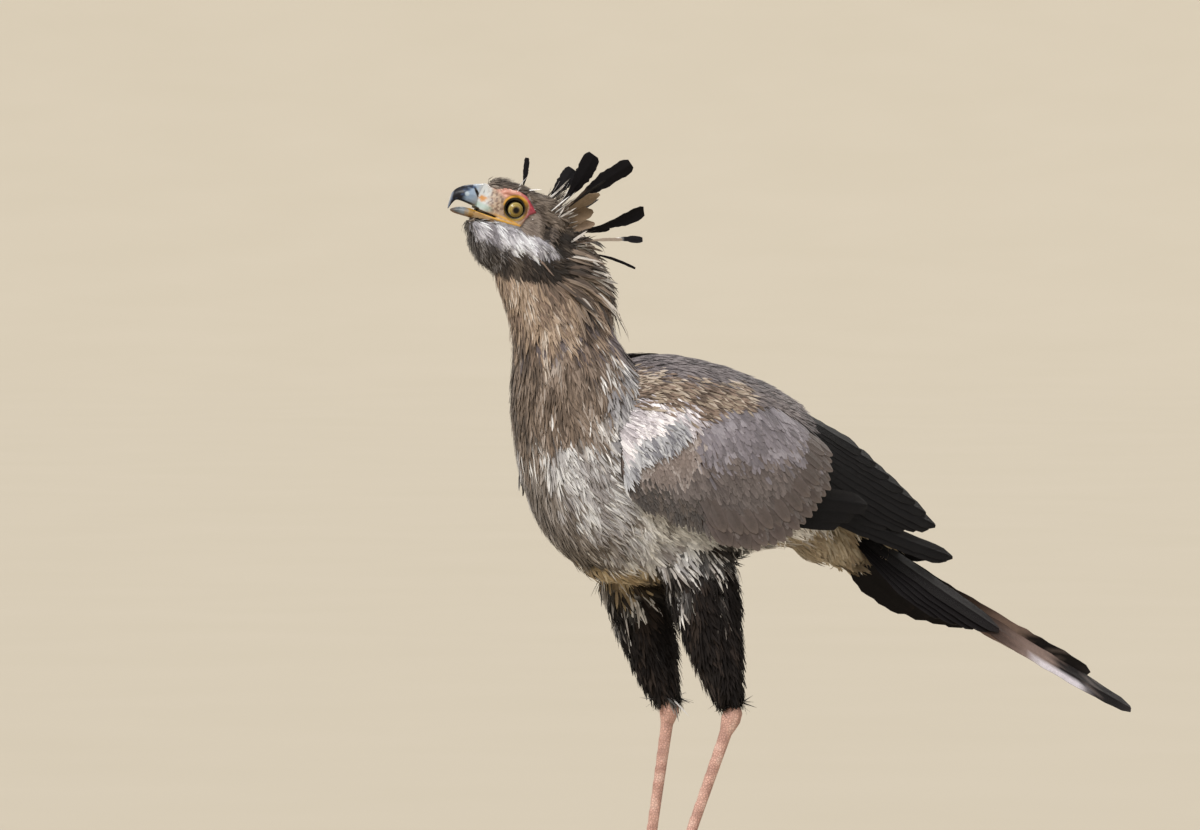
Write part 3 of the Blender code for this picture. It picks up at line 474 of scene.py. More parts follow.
# %% Small feathers
CAMBER = 0.12  # how far the edges hang, as a share of the half width
PATCH_HALF, PATCH_LONG = 0.0012, 0.0024  # a body's patch on the unwrap
RIBS = {"vane": (0.0, 0.32, 0.66, 0.9, 1.0), "lock": (0.0, 0.4, 0.78, 1.0), "tuft": (0.0, 0.5, 1.0)}
WIDTHS = {"vane": (0.45, 0.9, 1.0, 0.72, 0.16), "lock": (0.6, 1.0, 0.74, 0.12),
          "tuft": (0.8, 0.95, 0.14)}


def tufts(root, normal, lie, spec, shape):
    """Arrays of small feathers. spec: length, width, rise, bend, sway and thick, in mm."""
    n, t = len(root), np.array(RIBS[shape])[None, :, None]
    col = {k: np.broadcast_to(np.asarray(v, float), (n,))[:, None, None] for k, v in spec.items()}
    across = unit(np.cross(lie, normal))[:, None, :]
    up = normal[:, None, :]
    middle = root[:, None, :] + lie[:, None, :] * (col["length"] * t)
    middle = middle + up * (col["rise"] * (1.5 * t - 0.5 * t * t) - col["bend"] * t * t)
    middle = middle + across * (col["sway"] * t * t)
    half = col["width"] * np.array(WIDTHS[shape])[None, :, None] / 2
    thick = col["thick"] * (1 - 0.5 * t)
    drop = half * CAMBER
    edge = up * drop
    ring = np.stack(
        [middle - across * half - edge, middle + up * thick / 2, middle + across * half - edge,
         middle - up * (thick / 2 + drop * 0.7)], 2
    )
    w, far = half[..., 0], col["length"][..., 0] * t[..., 0]
    over = np.stack([np.stack([w * k, far], -1) for k in (-1, 0, 1, 0)], 2)
    return ring, over * MM, t


def tuft_faces(count, ribs):
    """Faces that close count bodies of ribs rings of four points."""
    index = np.arange(count * ribs * 4).reshape(count, ribs, 4)
    a, b = index[:, :-1], index[:, 1:]
    turn = [1, 2, 3, 0]
    sides = np.stack([a, a[..., turn], b[..., turn], b], -1).reshape(-1, 4)
    return np.concatenate([sides, index[:, 0, ::-1], index[:, -1]])


def coat(name, root, normal, lie, spec, tints, shape="lock"):
    """A coat piece. tints: colours by tuft for the root, the tip and the edges."""
    ring, over, t = tufts(root, normal, lie, spec, shape)
    n, ribs = ring.shape[:2]
    at_root, at_tip, at_edge = (c[:, None, None, :] for c in tints)
    shade = blend(at_root, at_tip, t[..., None] ** 1.4)
    edges = np.array([1.0, 0, 1.0, 0])[None, None, :, None] * (0.35 + 0.65 * t[..., None])
    shade = blend(np.broadcast_to(shade, (n, ribs, 4, 3)), at_edge, edges)
    bake = bake_place(root)[:, None, None, :]
    spread = np.array([(-1, 0), (0, 0.3), (1, 0), (0, -0.3)])[None, None] * PATCH_HALF
    patch = bake + spread + np.stack([t * 0, (t - 0.5) * PATCH_LONG], -1)
    return crisp(write_mesh(
        name, placed(ring.reshape(-1, 3)), tuft_faces(n, ribs), shade.reshape(-1, 3),
        over.reshape(-1, 2), patch.reshape(-1, 2),
    ))

# %% [markdown]
# The plumage changes from place to place: bristles on the chin, hair-like locks on the neck,
# silky plumes on the flank, velvet on the thighs. Each kind is one row of a table: the hex
# colours that its feathers are drawn from, how often each comes, and a feather's size. Where
# each kind grows is a list of soft ellipsoids laid over one another, in the drawing or the
# head's frame. Skin and coat are painted from the same tables, so they carry the same markings.

# %% Kinds of plumage
# name: colours with shares, length, width, rise, skin depth, cover, shape; sizes in mm
PLUMAGE = {
    "flank": ((("#837c78", 2), ("#aea8a4", 3), ("#d3d0ce", 3), ("#f6f4f3", 5)),
              34, 3.2, 6, 12, 5.4, "lock"),
    "breast": ((("#433830", 2), ("#5e5045", 3), ("#756558", 4), ("#89796d", 3), ("#a69a91", 1)),
               28, 3.1, 5.5, 12, 5.8, "lock"),
    "low_breast": ((("#504841", 2), ("#675d55", 4), ("#7a716a", 3), ("#a39b96", 2)),
                   30, 3.2, 5, 12, 5.4, "lock"),
    "silver": ((("#857e7d", 2), ("#a9a6a7", 4), ("#d7d6d6", 3)), 30, 3.1, 6, 12, 5.8, "lock"),
    "belly": ((("#7f6e57", 1), ("#9a8566", 3), ("#b3a080", 4), ("#cfc2a8", 1)),
              26, 4.2, 5, 12, 4.6, "lock"),
    "vent": ((("#8e7d68", 2), ("#a6967e", 5), ("#b6a994", 3)), 28, 4.2, 4, 9, 5.4, "lock"),
    "back": ((("#443c3e", 2), ("#595154", 5), ("#6c6365", 3), ("#887f7f", 1)),
             26, 4.6, 4, 9, 5.4, "lock"),
    "scapular": ((("#64554b", 2), ("#80705f", 4), ("#96836f", 4), ("#b5a48e", 2)),
                 26, 4.4, 6, 10, 5.4, "lock"),
    "rump": ((("#a59c96", 2), ("#cfc8bf", 4), ("#e0dbd4", 2)), 42, 9, 6, 9, 3.2, "vane"),
    "fluff": ((("#79767a", 2), ("#9b999c", 4), ("#bcbabb", 3)), 26, 4.0, 7, 10, 5.4, "lock"),
    "neck": ((("#5b4c42", 2), ("#7f6b5d", 3), ("#98836f", 4), ("#ad9987", 3), ("#cabdb0", 1)),
             27, 2.3, 7, 13, 6.2, "lock"),
    "nape": ((("#2a2320", 3), ("#574940", 3), ("#907e6f", 4), ("#d9d2cb", 2)),
             50, 4.2, 17, 12, 6.0, "lock"),
    "jaw": ((("#201b18", 4), ("#352c26", 4), ("#554b42", 2)), 17, 2.3, 4, 10, 5.4, "tuft"),
    "forehead": ((("#4f453e", 3), ("#6f6359", 3), ("#94897f", 2)), 14, 2.2, 6, 2.4, 6.0, "tuft"),
    "crown": ((("#4c4139", 3), ("#63574d", 4), ("#7b6e62", 3)), 11, 2.1, 3.5, 2.6, 5.2, "tuft"),
    "ear": ((("#5e534c", 2), ("#73675f", 4), ("#8a7e75", 3)), 10, 1.9, 1.5, 2.4, 5.2, "tuft"),
    "malar": ((("#6f6a70", 2), ("#a19ea6", 4), ("#c8c6cc", 4), ("#eceef2", 2)),
              17, 2.0, 2.6, 2.4, 5.4, "tuft"),
    "chin": ((("#302a27", 3), ("#58514c", 4), ("#8f8a88", 3)), 13, 1.3, 7, 5, 4.0, "tuft"),
    "thigh": ((("#120f0f", 3), ("#1f1b1a", 5), ("#352d29", 2)), 25, 3.8, 9, 2.5, 5.2, "tuft"),
    "thigh_top": ((("#746d6a", 1), ("#b0adab", 3), ("#dcdad9", 4), ("#ffffff", 3)),
                  20, 3.4, 5, 10, 5.6, "lock"),
}
KINDS = list(PLUMAGE)
# kind, frame (b: x, out, z of the drawing; h: forward, up, out of the head), centre, radii, mm
GROUNDS = (
    ("low_breast", "b", (-150, 0, 560), (95, 130, 112)),
    ("silver", "b", (-120, 96, 575), (46, 60, 52)),
    ("silver", "b", (-40, 96, 520), (90, 50, 30)),
    ("breast", "b", (-165, 0, 735), (110, 130, 104)),
    ("silver", "b", (-150, 60, 628), (34, 44, 26)),
    ("back", "b", (40, 0, 775), (190, 95, 62)),
    ("rump", "b", (250, 0, 610), (90, 70, 50)),
    ("belly", "b", (-10, 0, 476), (125, 62, 28)),
    ("vent", "b", (250, 0, 506), (110, 90, 48)),
    ("scapular", "b", (10, 92, 712), (95, 42, 24)),
    ("fluff", "b", (-78, 92, 672), (34, 40, 66)),
    ("fluff", "b", (-30, 80, 730), (60, 34, 20)),
    ("thigh_top", "b", (25, 84, 552), (80, 44, 44)),
    ("thigh", "b", (52, 60, 402), (80, 62, 112)),
    ("neck", "b", (-160, 0, 862), (120, 120, 86)),
    ("nape", "b", (-80, 0, 868), (40, 52, 50)),
    ("nape", "h", (-92, -30, 0), (46, 60, 56)),
    ("jaw", "h", (-34, -58, 0), (62, 20, 60)),
    ("jaw", "h", (-64, -14, 0), (12, 60, 60)),
    ("chin", "h", (30, -50, 0), (50, 30, 40)),
    ("ear", "h", (-28, -14, 34), (31, 32, 34)),
    ("jaw", "h", (-45, -24, 34), (7, 32, 30)),
    ("malar", "h", (-2, -35, 30), (58, 13, 30)),
    ("crown", "h", (0, 34, 0), (64, 20, 60)),
    ("crown", "h", (-44, 16, 0), (22, 24, 60)),
    ("forehead", "h", (36, 27, 0), (16, 12, 20)),
)
# a border's waves, mm, and how far it is blurred, as a share of the ellipsoid
BORDERS = {"b": (26, 0.28), "h": (12, 0.13)}


def kind_shares(drawn):
    """How much of each kind of plumage grows at drawn points: one row of shares each."""
    shares = np.zeros((len(drawn), len(KINDS)))
    shares[:, 0] = 1
    head = head_local(drawn)
    for i, (kind, which, centre, radii) in enumerate(GROUNDS):
        spot = (drawn if which == "b" else head).copy()
        side = 1 if which == "b" else 2
        spot[:, side] = np.abs(spot[:, side])
        away = np.linalg.norm((spot - np.array(centre)) / np.array(radii), axis=1)
        patch, blur = BORDERS[which]
        away = away + blur * ripple(drawn, patch, 40 + i)
        cover = 1 - smooth(1 - blur, 1 + blur, away)
        shares *= (1 - cover)[:, None]
        shares[:, KINDS.index(kind)] += cover
    return shares


MEAN_TINTS = np.array([
    sum(rgb(c) * n for c, n in PLUMAGE[k][0]) / sum(n for _, n in PLUMAGE[k][0]) for k in KINDS
])
DEPTHS = np.array([PLUMAGE[k][4] for k in KINDS], float)
print(len(KINDS), "kinds of plumage on", len(GROUNDS), "grounds")

# %% [markdown]
# One skin stands for all the nodes of flesh, so that no seam shows. Copies of the head, neck,
# torso and thighs are joined with rounded lumps for the nape's pad and the tail's root, and a
# voxel remesh melts them into one closed surface. Each point then sinks by the depth of the
# coat that grows there, which leaves room for the feathers.

# %% Skin
FLESH_NODES = ("head", "neck", "torso", "thigh_left", "thigh_right")
SKIN_VOXEL, MERGE_WITHIN = 4.0 * MM, 0.02 * MM
# SKIN_SHADE darkens the coat's colour on the skin as painted shade between the feathers
SKIN_SHADE, THIN_COAT = 0.6, 0.45  # the skin's tone, and the coat's depth between the legs
NAPE_PAD = ((-34, 25, 5), (-46, 13, 15), (-63, -3, 21), (-82, -20, 24), (-98, -38, 24),
            (-110, -57, 20))
MOUTH_FLESH = ((-30, -17.5, -9.5, 0), (43, 43, 60, 60))  # up, and how far forward flesh shows there
MOUTH_HALF, MOUTH_FRONT = 5.0, 43.0  # the palate's half width, and where all flesh beside it ends
TAIL_LUMPS = ((275, 540, 34), (262, 513, 34), (236, 516, 36), (298, 528, 28), (287, 506, 30),
              (320, 520, 22), (309, 502, 23), (343, 509, 15))


def copy_of(node):
    """A copy of a solid's mesh as its own object, with its doubled points merged."""
    obj = nodes[node].copy()
    obj.data = nodes[node].data.copy()
    for key in list(obj.keys()):
        del obj[key]
    obj.parent = None
    obj.hide_viewport = obj.hide_render = False
    bpy.context.scene.collection.objects.link(obj)
    obj.hide_set(False)
    mend(obj, bpy.ops.mesh.remove_doubles, threshold=MERGE_WITHIN)
    return obj


def melted(parts, name, voxel, smoothing):
    """Joins parts, melts them by a voxel remesh and smooths the result."""
    pick(*parts)
    if len(parts) > 1:
        bpy.ops.object.join()
    obj = bpy.context.object
    obj.name = name
    remesh = obj.modifiers.new("melt", "REMESH")
    remesh.mode, remesh.voxel_size = "VOXEL", voxel
    bpy.ops.object.modifier_apply(modifier=remesh.name)
    soften = obj.modifiers.new("soften", "SMOOTH")
    soften.factor, soften.iterations = 0.5, smoothing
    bpy.ops.object.modifier_apply(modifier=soften.name)
    bpy.ops.object.shade_smooth()
    return obj


def ball(radius_mm, place, segments, rings, turn=(0, 0, 0)):
    """A sphere at a place of the frame, with its place and turn applied to its points."""
    bpy.ops.object.select_all(action="DESELECT")
    bpy.ops.mesh.primitive_uv_sphere_add(
        radius=radius_mm * MM, segments=segments, ring_count=rings, location=place, rotation=turn
    )
    bpy.ops.object.transform_apply(location=True, rotation=True, scale=True)
    return bpy.context.object


parts = [copy_of(node) for node in FLESH_NODES]
parts += [ball(r, placed(head_drawn(f, u, 0.0)), 24, 14) for f, u, r in NAPE_PAD]
parts += [ball(r, placed((x, 0, z)), 24, 14) for x, z, r in TAIL_LUMPS]
skin = melted(parts, "skin", SKIN_VOXEL, 8)
outer = points_of(skin.data)
drawn = drawn_of(outer)
shares = kind_shares(drawn)
depth = shares @ DEPTHS
between_legs = smooth(30, 18, np.abs(drawn[:, 1])) * (drawn[:, 2] < 480)
depth *= blend(1.0, THIN_COAT, between_legs)
sunk = outer - normals_of(skin.data) * (depth * MM)[:, None]
f, u, out = head_local(drawn_of(sunk)).T
ahead = head_way(1.0, 0.0, 0.0)
front = np.where(np.abs(out) < MOUTH_HALF, np.interp(u, *MOUTH_FLESH), MOUTH_FRONT)
in_mouth = (u < MOUTH_FLESH[0][-1]) & (u > MOUTH_FLESH[0][0])
sunk -= ahead * (np.maximum(f - front, 0) * in_mouth * MM)[:, None]
move_points(skin.data, sunk)
skin.data.update()
f, u, out = head_local(drawn).T
# painted shade: the skin in the open mouth, between the bills, is painted near-black
mouth_shade = (smooth(38, 42, f) * smooth(-19, -16, u) * smooth(-7, -10, u))[:, None]
paint_points(skin.data, blend((shares @ MEAN_TINTS) * SKIN_SHADE, rgb("#17130d"), mouth_shade))
print("skin:", len(skin.data.polygons), "faces, sunk by up to", round(depth.max(), 1), "mm")

# %% [markdown]
# Skin under a coat is only glimpsed between the feathers, so it is matt and carries the colour of the
# coat that grows there, darkened as painted shade between the feathers, with a fine down painted in
# noise.

# %% Downy skin
downy, tree, shader = new_material("downy_skin", {"Roughness": 0.95, "Specular IOR Level": 0.15})
painted = add_node(tree, "ShaderNodeAttribute", {"attribute_name": "tint"})
DOWN_GRAIN_MM, DOWN_DEPTH = 2.5, 1.0 * MM
down = grain_of(tree, DOWN_GRAIN_MM, 3.0)
links = {0: 0.5, 1: painted.outputs["Color"], 2: down}
mottle = add_node(tree, "ShaderNodeMixRGB", {"blend_type": "OVERLAY"}, links)
tree.links.new(mottle.outputs[0], shader.inputs["Base Color"])
emboss(tree, shader, down, DOWN_DEPTH)
map_points(skin.data, "OFBake", bake_place(drawn_of(points_of(skin.data))))
dress(skin, downy, "body_feathers", *FLESH_NODES)

# %% [markdown]
# A feather's vane is made of barbs that leave the shaft at a slant. Real barbs are a quarter of
# a millimetre apart, too fine to show, so they are drawn about 1.6 mm apart. Each kind of
# feather differs in gloss: velvet on the thighs, silk on the flank, and horn-hard black quills.


# %% Feather material
CLUMP_MM, BARB_DEPTH = 5.0, 0.25 * MM


def feather(name, roughness, sheen, gloss, barb_mm=1.6, contrast=0.22):
    """Barbed feather: the painted colour, darkened between barbs."""
    fixed = {"Roughness": roughness, "Sheen Weight": sheen, "Specular IOR Level": gloss}
    made, tree, shader = new_material(name, {**fixed, "Sheen Roughness": 0.4})
    over = add_node(tree, "ShaderNodeUVMap", {"uv_map": "Over"})
    split = add_node(tree, "ShaderNodeSeparateXYZ", (), {"Vector": over.outputs["UV"]})
    aside = calc(tree, "ABSOLUTE", split.outputs["X"])
    slant = calc(tree, "MULTIPLY_ADD", aside, -1.1, split.outputs["Y"])
    rough = grain_of(tree, CLUMP_MM)
    jitter = calc(tree, "MULTIPLY_ADD", rough, barb_mm * MM * 1.4, slant)
    barb = calc(tree, "SINE", calc(tree, "MULTIPLY", jitter, 2 * math.pi / (barb_mm * MM)))
    mottled = calc(tree, "MULTIPLY_ADD", rough, 0.5, 0.75)
    tone_paint(tree, shader, calc(tree, "MULTIPLY_ADD", barb, contrast / 2, mottled))
    emboss(tree, shader, barb, BARB_DEPTH, 0.5)
    return made


SOFT_FEATHER = feather("soft_contour_feather", 0.78, 0.15, 0.3)
NECK_FEATHER = feather("hair_like_neck_feather", 0.72, 0.12, 0.3, 1.2)
COVERT_FEATHER = feather("firm_wing_covert", 0.62, 0.12, 0.4)
BLACK_FEATHER = feather("black_quill_feather", 0.55, 0.0, 0.1, 1.8, 0.5)
VELVET_FEATHER = feather("black_velvet_feather", 0.8, 0.04, 0.12, 1.4, 0.4)
print("feather finishes:", [m.name for m in bpy.data.materials if "feather" in m.name])

# %% [markdown]
# The coat is sown over the skin. Where each feather roots is drawn at random, denser where
# feathers are small. It lies along the spine, from bill to tail, drawn down by its weight on the
# flanks and down the shank on the thighs, and it bends with the body, so that its tip comes to
# rest just above the feathers behind it. Places hidden under the folded wing stay bare.

# %% Sowing
# the part of the body, in metres, where the folded wings may hide it: x, z and least |y|
COVERED_X, COVERED_Z, COVERED_Y = (-0.36, 0.06), (0.52, 0.74), 0.035
WING_REACH, HIDDEN_STEPS = 0.09, (0.0, -0.03, 0.02)
# the pull of a feather's weight on the flanks, and the lie behind the head and on the legs
DROOP, NAPE_WAY, LEG_WAY = (np.array(way) for way in ((0, 0, -0.55), (1.0, 0, -0.42), (0.3, 0, -1.0)))


def triangles_of(mesh):
    mesh.calc_loop_triangles()
    flat = np.empty(len(mesh.loop_triangles) * 3, np.int32)
    mesh.loop_triangles.foreach_get("vertices", flat)
    return flat.reshape(-1, 3)


SIDES = ((1, "wing_left"), (-1, "wing_right"))
wing_trees = {}
for side, node in SIDES:
    mesh = nodes[node].data
    wing_trees[side] = BVHTree.FromPolygons([v.co for v in mesh.vertices], triangles_of(mesh).tolist())
skin_tree = BVHTree.FromObject(skin, bpy.context.evaluated_depsgraph_get())


def lie_at(drawn, normals):
    """The way that feathers lie at drawn points: along the body, then pressed to its surface."""
    _, ahead = spine_frame(drawn)
    side = np.abs(normals[:, 1:2])
    body = smooth(-150, -60, drawn[:, 0:1])
    lie = ahead + DROOP * side * body
    head = head_local(drawn)
    on_head = smooth(-66, -40, head[:, 0:1]) * smooth(-74, -52, head[:, 1:2])
    sinking = blend(0.1, 0.65, smooth(10, -30, head[:, 1:2]))
    cheek = head_way(-1.0, 0.0, 0.0) + head_way(0.0, -1.0, 0.0) * sinking
    lie = blend(lie, cheek, on_head)
    behind = smooth(-50, -68, head[:, 0:1]) * smooth(-84, -52, head[:, 1:2])
    lie = blend(lie, NAPE_WAY, behind * 0.85)
    leg = smooth(540, 470, drawn[:, 2:3]) * smooth(22, 40, np.abs(drawn[:, 1:2]))
    lie = blend(lie, LEG_WAY, leg)
    lie = lie - normals * (lie * normals).sum(-1, keepdims=True)
    return unit(lie)


def bare(drawn):
    """Where no coat grows: on the face's bare skin, and in front of it."""
    f, u, out = head_local(drawn).T
    face = ((f - 8) / 30) ** 2 + ((u - 3) / 18.5) ** 2 < 1
    lore = (f > 8) & (f < 60) & (u < 19 - 0.1 * f) & (u > -17)
    brow = (f > 30) & (u < 18.5) & (u > -17)
    jaw_line = (f > -12) & (u < 0) & (u > np.interp(f, (-12, 20, 60), (-21.5, -24.5, -26.5)))
    return ((face | lore | jaw_line) & (np.abs(out) > 8)) | brow | ((f > 44) & (u > -27)) | (f > 56)


# %% [markdown]
# How many feathers root in each triangle of the skin follows from its area and from the size of
# the kinds that grow there. The places are drawn inside the triangles, those under the wings are
# dropped, and each of the others gets its kind by chance, weighted by the shares.

# %% Roots of the coat
VANE_FILL = 0.75  # how much of its length times its width a feather covers
faces = triangles_of(skin.data)
corner = points_of(skin.data)
corner_normal = normals_of(skin.data)
tri = corner[faces]
area = np.linalg.norm(np.cross(tri[:, 1] - tri[:, 0], tri[:, 2] - tri[:, 0]), axis=1) / 2
middle = drawn_of(tri.mean(1))
shares = kind_shares(middle)
per_mm2 = np.array([PLUMAGE[k][5] / (PLUMAGE[k][1] * PLUMAGE[k][2] * VANE_FILL) for k in KINDS])
wanted = (shares @ per_mm2) * area * 1e6
wanted[bare(middle)] = 0
total = int(wanted.sum())
draw = np.random.default_rng(11)
cumulative = np.cumsum(wanted)
picks = np.searchsorted(cumulative, (np.arange(total) + draw.random(total)) / total * cumulative[-1])
picks = np.minimum(picks, len(faces) - 1)
a, b = draw.random((2, len(picks)))
flip = a + b > 1
a, b = np.where(flip, 1 - a, a), np.where(flip, 1 - b, b)
weights = np.stack([1 - a - b, a, b], -1)[..., None]
root = (tri[picks] * weights).sum(1)
normal = unit((corner_normal[faces[picks]] * weights).sum(1))
hidden = np.zeros(len(root), bool)
for i, spot in enumerate(root):
    if (COVERED_X[0] < spot[0] < COVERED_X[1] and abs(spot[1]) > COVERED_Y
            and COVERED_Z[0] < spot[2] < COVERED_Z[1]):
        side = 1 if spot[1] < 0 else -1
        starts = [Vector(spot) + Vector((0, 0, step)) for step in HIDDEN_STEPS]
        hits = [wing_trees[side].ray_cast(start, Vector((0, -side, 0)), WING_REACH) for start in starts]
        hidden[i] = all(hit[0] is not None for hit in hits)
root, normal = root[~hidden], normal[~hidden]
drawn = drawn_of(root)
odds = kind_shares(drawn)
odds[:, 0] = np.maximum(odds[:, 0], 1e-9)
rate = odds * per_mm2
kind = (np.cumsum(rate, 1) > (draw.random(len(root)) * rate.sum(1))[:, None]).argmax(1)
print(len(root), "feathers sown;", {KINDS[k]: int((kind == k).sum()) for k in range(len(KINDS))})

# %% [markdown]
# Each feather takes its size from its kind, with the scatter of real plumage. Colours come in
# clumps: a slow noise, drawn out along the body, orders the feathers of a kind, and the order
# picks their colour, so that neighbours are alike and the coat is mottled softly. Roots are
# shaded, since little light gets in between feathers.


# %% Growing the coat
FEATHER_THICK = 0.36
SIZE_SCATTER, RISE_SCATTER, TONE_SCATTER = (0.7, 1.25), (0.3, 1.15), (0.9, 1.12)
ROOT_TONE, TIP_TONE, EDGE_TONE, DARK_TIPPED = 0.84, 1.1, 1.02, 0.6
BEND_LIMITS = (-0.15, 0.5)  # how far a tip may bend out or in, as shares of the length


def clumped(palette, at, draw, scatter):
    """A colour for each place from (hex, share) pairs, alike among neighbours."""
    streaked = at * np.array([1, 1, 0.45])
    order = ripple(streaked, 14, 5) + 0.8 * ripple(streaked, 42, 7) + draw.normal(0, scatter, len(at))
    rank = np.argsort(np.argsort(order)) / max(len(at), 1)
    colours, shares_of = zip(*palette)
    steps = np.cumsum(shares_of) / sum(shares_of)
    return np.array([rgb(c) for c in colours])[np.minimum(np.searchsorted(steps, rank), len(colours) - 1)]


def columns_of(table, chosen, columns):
    """Columns of a table of plumage, as numbers, for the rows chosen."""
    return (np.array([row[c] for row in table.values()], float)[chosen] for c in columns)


def tints_of(table, chosen, at, draw, scatter=0.42):
    """A colour for each feather from the palette of its row of a table of plumage."""
    tint = np.zeros((len(at), 3))
    for k, row in enumerate(table.values()):
        tint[chosen == k] = clumped(row[0], at[chosen == k], draw, scatter)
    return tint


def bends(at, up, lie, length):
    """How far each feather bends towards the skin, so that its tip lies on it, mm."""
    ahead = placed(at + lie * length[:, None] * 0.95)
    out = np.zeros(len(at))
    for i in range(len(at)):
        near, way, _, _ = skin_tree.find_nearest(Vector(ahead[i]))
        if way.dot(Vector(up[i])) > 0.3:
            above = (Vector(ahead[i]) - near).dot(way) / MM
            out[i] = min(max(above, BEND_LIMITS[0] * length[i]), BEND_LIMITS[1] * length[i])
    return out


def grow(chosen, seed):
    """Roots, normals, lie, sizes and colours of the chosen feathers."""
    draw = np.random.default_rng(seed)
    n = int(chosen.sum())
    at, up, sort = drawn[chosen], normal[chosen], kind[chosen]
    length, width, rise = columns_of(PLUMAGE, sort, (1, 2, 3))
    length = length * draw.uniform(*SIZE_SCATTER, n)
    width = width * draw.uniform(*SIZE_SCATTER, n)
    rise = rise * draw.uniform(*RISE_SCATTER, n)
    lie = lie_at(at, up)
    aside = unit(np.cross(lie, up))
    clump = ripple(at, 34, 5) * 0.22 + ripple(at, 12, 6) * 0.16
    lie = unit(lie + aside * (clump + draw.normal(0, 0.07, n))[:, None])
    bend = bends(at, up, lie, length)
    tint = tints_of(PLUMAGE, sort, at, draw)
    tint = blend(tint, kind_shares(at) @ MEAN_TINTS, 0.2) * draw.uniform(*TONE_SCATTER, (n, 1))
    tipped = ((sort == KINDS.index("nape")) & (draw.random(n) < DARK_TIPPED))[:, None] * 0.8
    tip = blend(tint * TIP_TONE, rgb("#1d1918"), tipped)
    spec = {"length": length, "width": width, "rise": rise, "bend": bend,
            "sway": draw.normal(0, 0.08, n) * length, "thick": FEATHER_THICK}
    return at, up, lie, spec, (tint * ROOT_TONE, tip, tint * EDGE_TONE)


MOST = {"lock": 6900, "tuft": 9600, "vane": 5300}  # feathers in one piece


def finish_coat(name, kinds, finish, slot, seed):
    """Grows the feathers of some kinds and writes them in pieces of under 200,000 triangles."""
    shape = PLUMAGE[kinds[0]][6]
    at, up, lie, spec, tints = grow(np.isin(kind, [KINDS.index(k) for k in kinds]), seed)
    order = np.argsort(at[:, 1], kind="stable")
    parts = max(1, math.ceil(len(order) / MOST[shape]))
    for i, part in enumerate(np.array_split(order, parts)):
        piece_spec = {k: (v[part] if np.ndim(v) else v) for k, v in spec.items()}
        label = f"{name}_{i + 1}" if parts > 1 else name
        piece = coat(label, at[part], up[part], lie[part], piece_spec, [c[part] for c in tints], shape)
        dress(piece, finish, slot)


COATS = (
    ("neck", "neck nape", NECK_FEATHER, "neck_feathers", 21),
    ("breast", "breast low_breast", SOFT_FEATHER, "body_feathers", 22),
    ("flank", "flank silver belly vent fluff thigh_top", SOFT_FEATHER, "body_feathers", 23),
    ("back", "back scapular", SOFT_FEATHER, "body_feathers", 24),
    ("rump", "rump", SOFT_FEATHER, "body_feathers", 27),
    ("thigh", "thigh", VELVET_FEATHER, "black_feathers", 25),
    ("head", "crown forehead ear malar chin jaw", NECK_FEATHER, "neck_feathers", 26),
)
for place, kinds, finish, slot, seed in COATS:
    finish_coat(f"{place}_coat", kinds.split(), finish, slot, seed)

# %% [markdown]
# Each folded wing is one curved sheet over the body's side. Its places are told by x, along the
# bird, and a share from its upper line, 0, to where it is widest, 1, and on. The table is the one
# that the solids were built from, so the feathers lie where the solids' do.

# %% The wing's sheet
# x, upper line's z, half width, drop to the widest, roundness; mm
WING_SHEET = (
    (-150, 690, 92, 78, 0.8), (-60, 742, 108, 125, 0.8), (0, 756, 117, 140, 0.8),
    (90, 741, 117, 140, 0.75), (170, 712, 105, 135, 0.6), (240, 674, 87, 125, 0.4),
    (300, 640, 70, 105, 0.2), (375, 592, 52, 85, 0.1), (430, 552, 40, 66, 0.1),
    (470, 524, 32, 50, 0.1),
)
# x, upper z, lower z and thickness of the coverts-clad part; mm
WING_BED = (
    (-98, 632, 600, 8), (-91, 655, 582, 15), (-70, 682, 565, 20), (-20, 706, 545, 22),
    (40, 714, 528, 22), (80, 708, 523, 20), (120, 694, 531, 19), (160, 674, 550, 17),
    (192, 652, 576, 12), (212, 636, 598, 6),
)
RIGHT_REACH = 34.0  # the right wing's bend is held this much further forward


def sheet_point(x, q):
    """Points of the left wing's sheet, for arrays of x and shares."""
    x, q = np.broadcast_arrays(np.asarray(x, float), np.asarray(q, float))
    top, half, drop, rounded = table_at(WING_SHEET, x)
    upper = np.stack([np.full_like(top, -3.0), top], -1)
    widest = np.stack([-half, top - drop], -1)
    corner = np.stack([-half, top], -1)
    bend = blend((upper + widest) / 2, corner, rounded[..., None])
    long = np.linalg.norm(widest - upper, axis=-1) * (1 + 0.12 * rounded)
    on, share = np.minimum(q, 1)[..., None], q[..., None]
    curve = upper * (1 - on) ** 2 + bend * (2 * on * (1 - on)) + widest * on**2
    below = widest + unit(widest - bend) * (np.maximum(share - 1, 0) * long[..., None])
    flat = np.where(share <= 1, curve, below)
    return np.concatenate([x[..., None], flat], -1)


def sheet_normal(x, q):
    by_x = sheet_point(x + 2.0, q) - sheet_point(x - 2.0, q)
    by_q = sheet_point(x, q + 0.01) - sheet_point(x, np.maximum(q - 0.01, 0))
    normal = unit(np.cross(by_x, by_q))
    return normal * np.where(normal[..., 1:2] < 0, 1, -1)


def share_at(x, z):
    """How far down the sheet the heights z are met."""
    top_share, low_share = np.zeros(np.shape(x)), np.full(np.shape(x), 2.2)
    for _ in range(24):
        middle = (top_share + low_share) / 2
        higher = sheet_point(x, middle)[..., 2] > z
        top_share = np.where(higher, middle, top_share)
        low_share = np.where(higher, low_share, middle)
    return (top_share + low_share) / 2


def sided(points, side):
    """The left wing's points on a side: 1 left, -1 right, whose bend reaches further forward."""
    out = points.copy()
    if side == -1:
        out[..., 0] -= RIGHT_REACH * smooth(0, 1, (20 - points[..., 0]) / 120)
        out[..., 1] *= -1
    return out


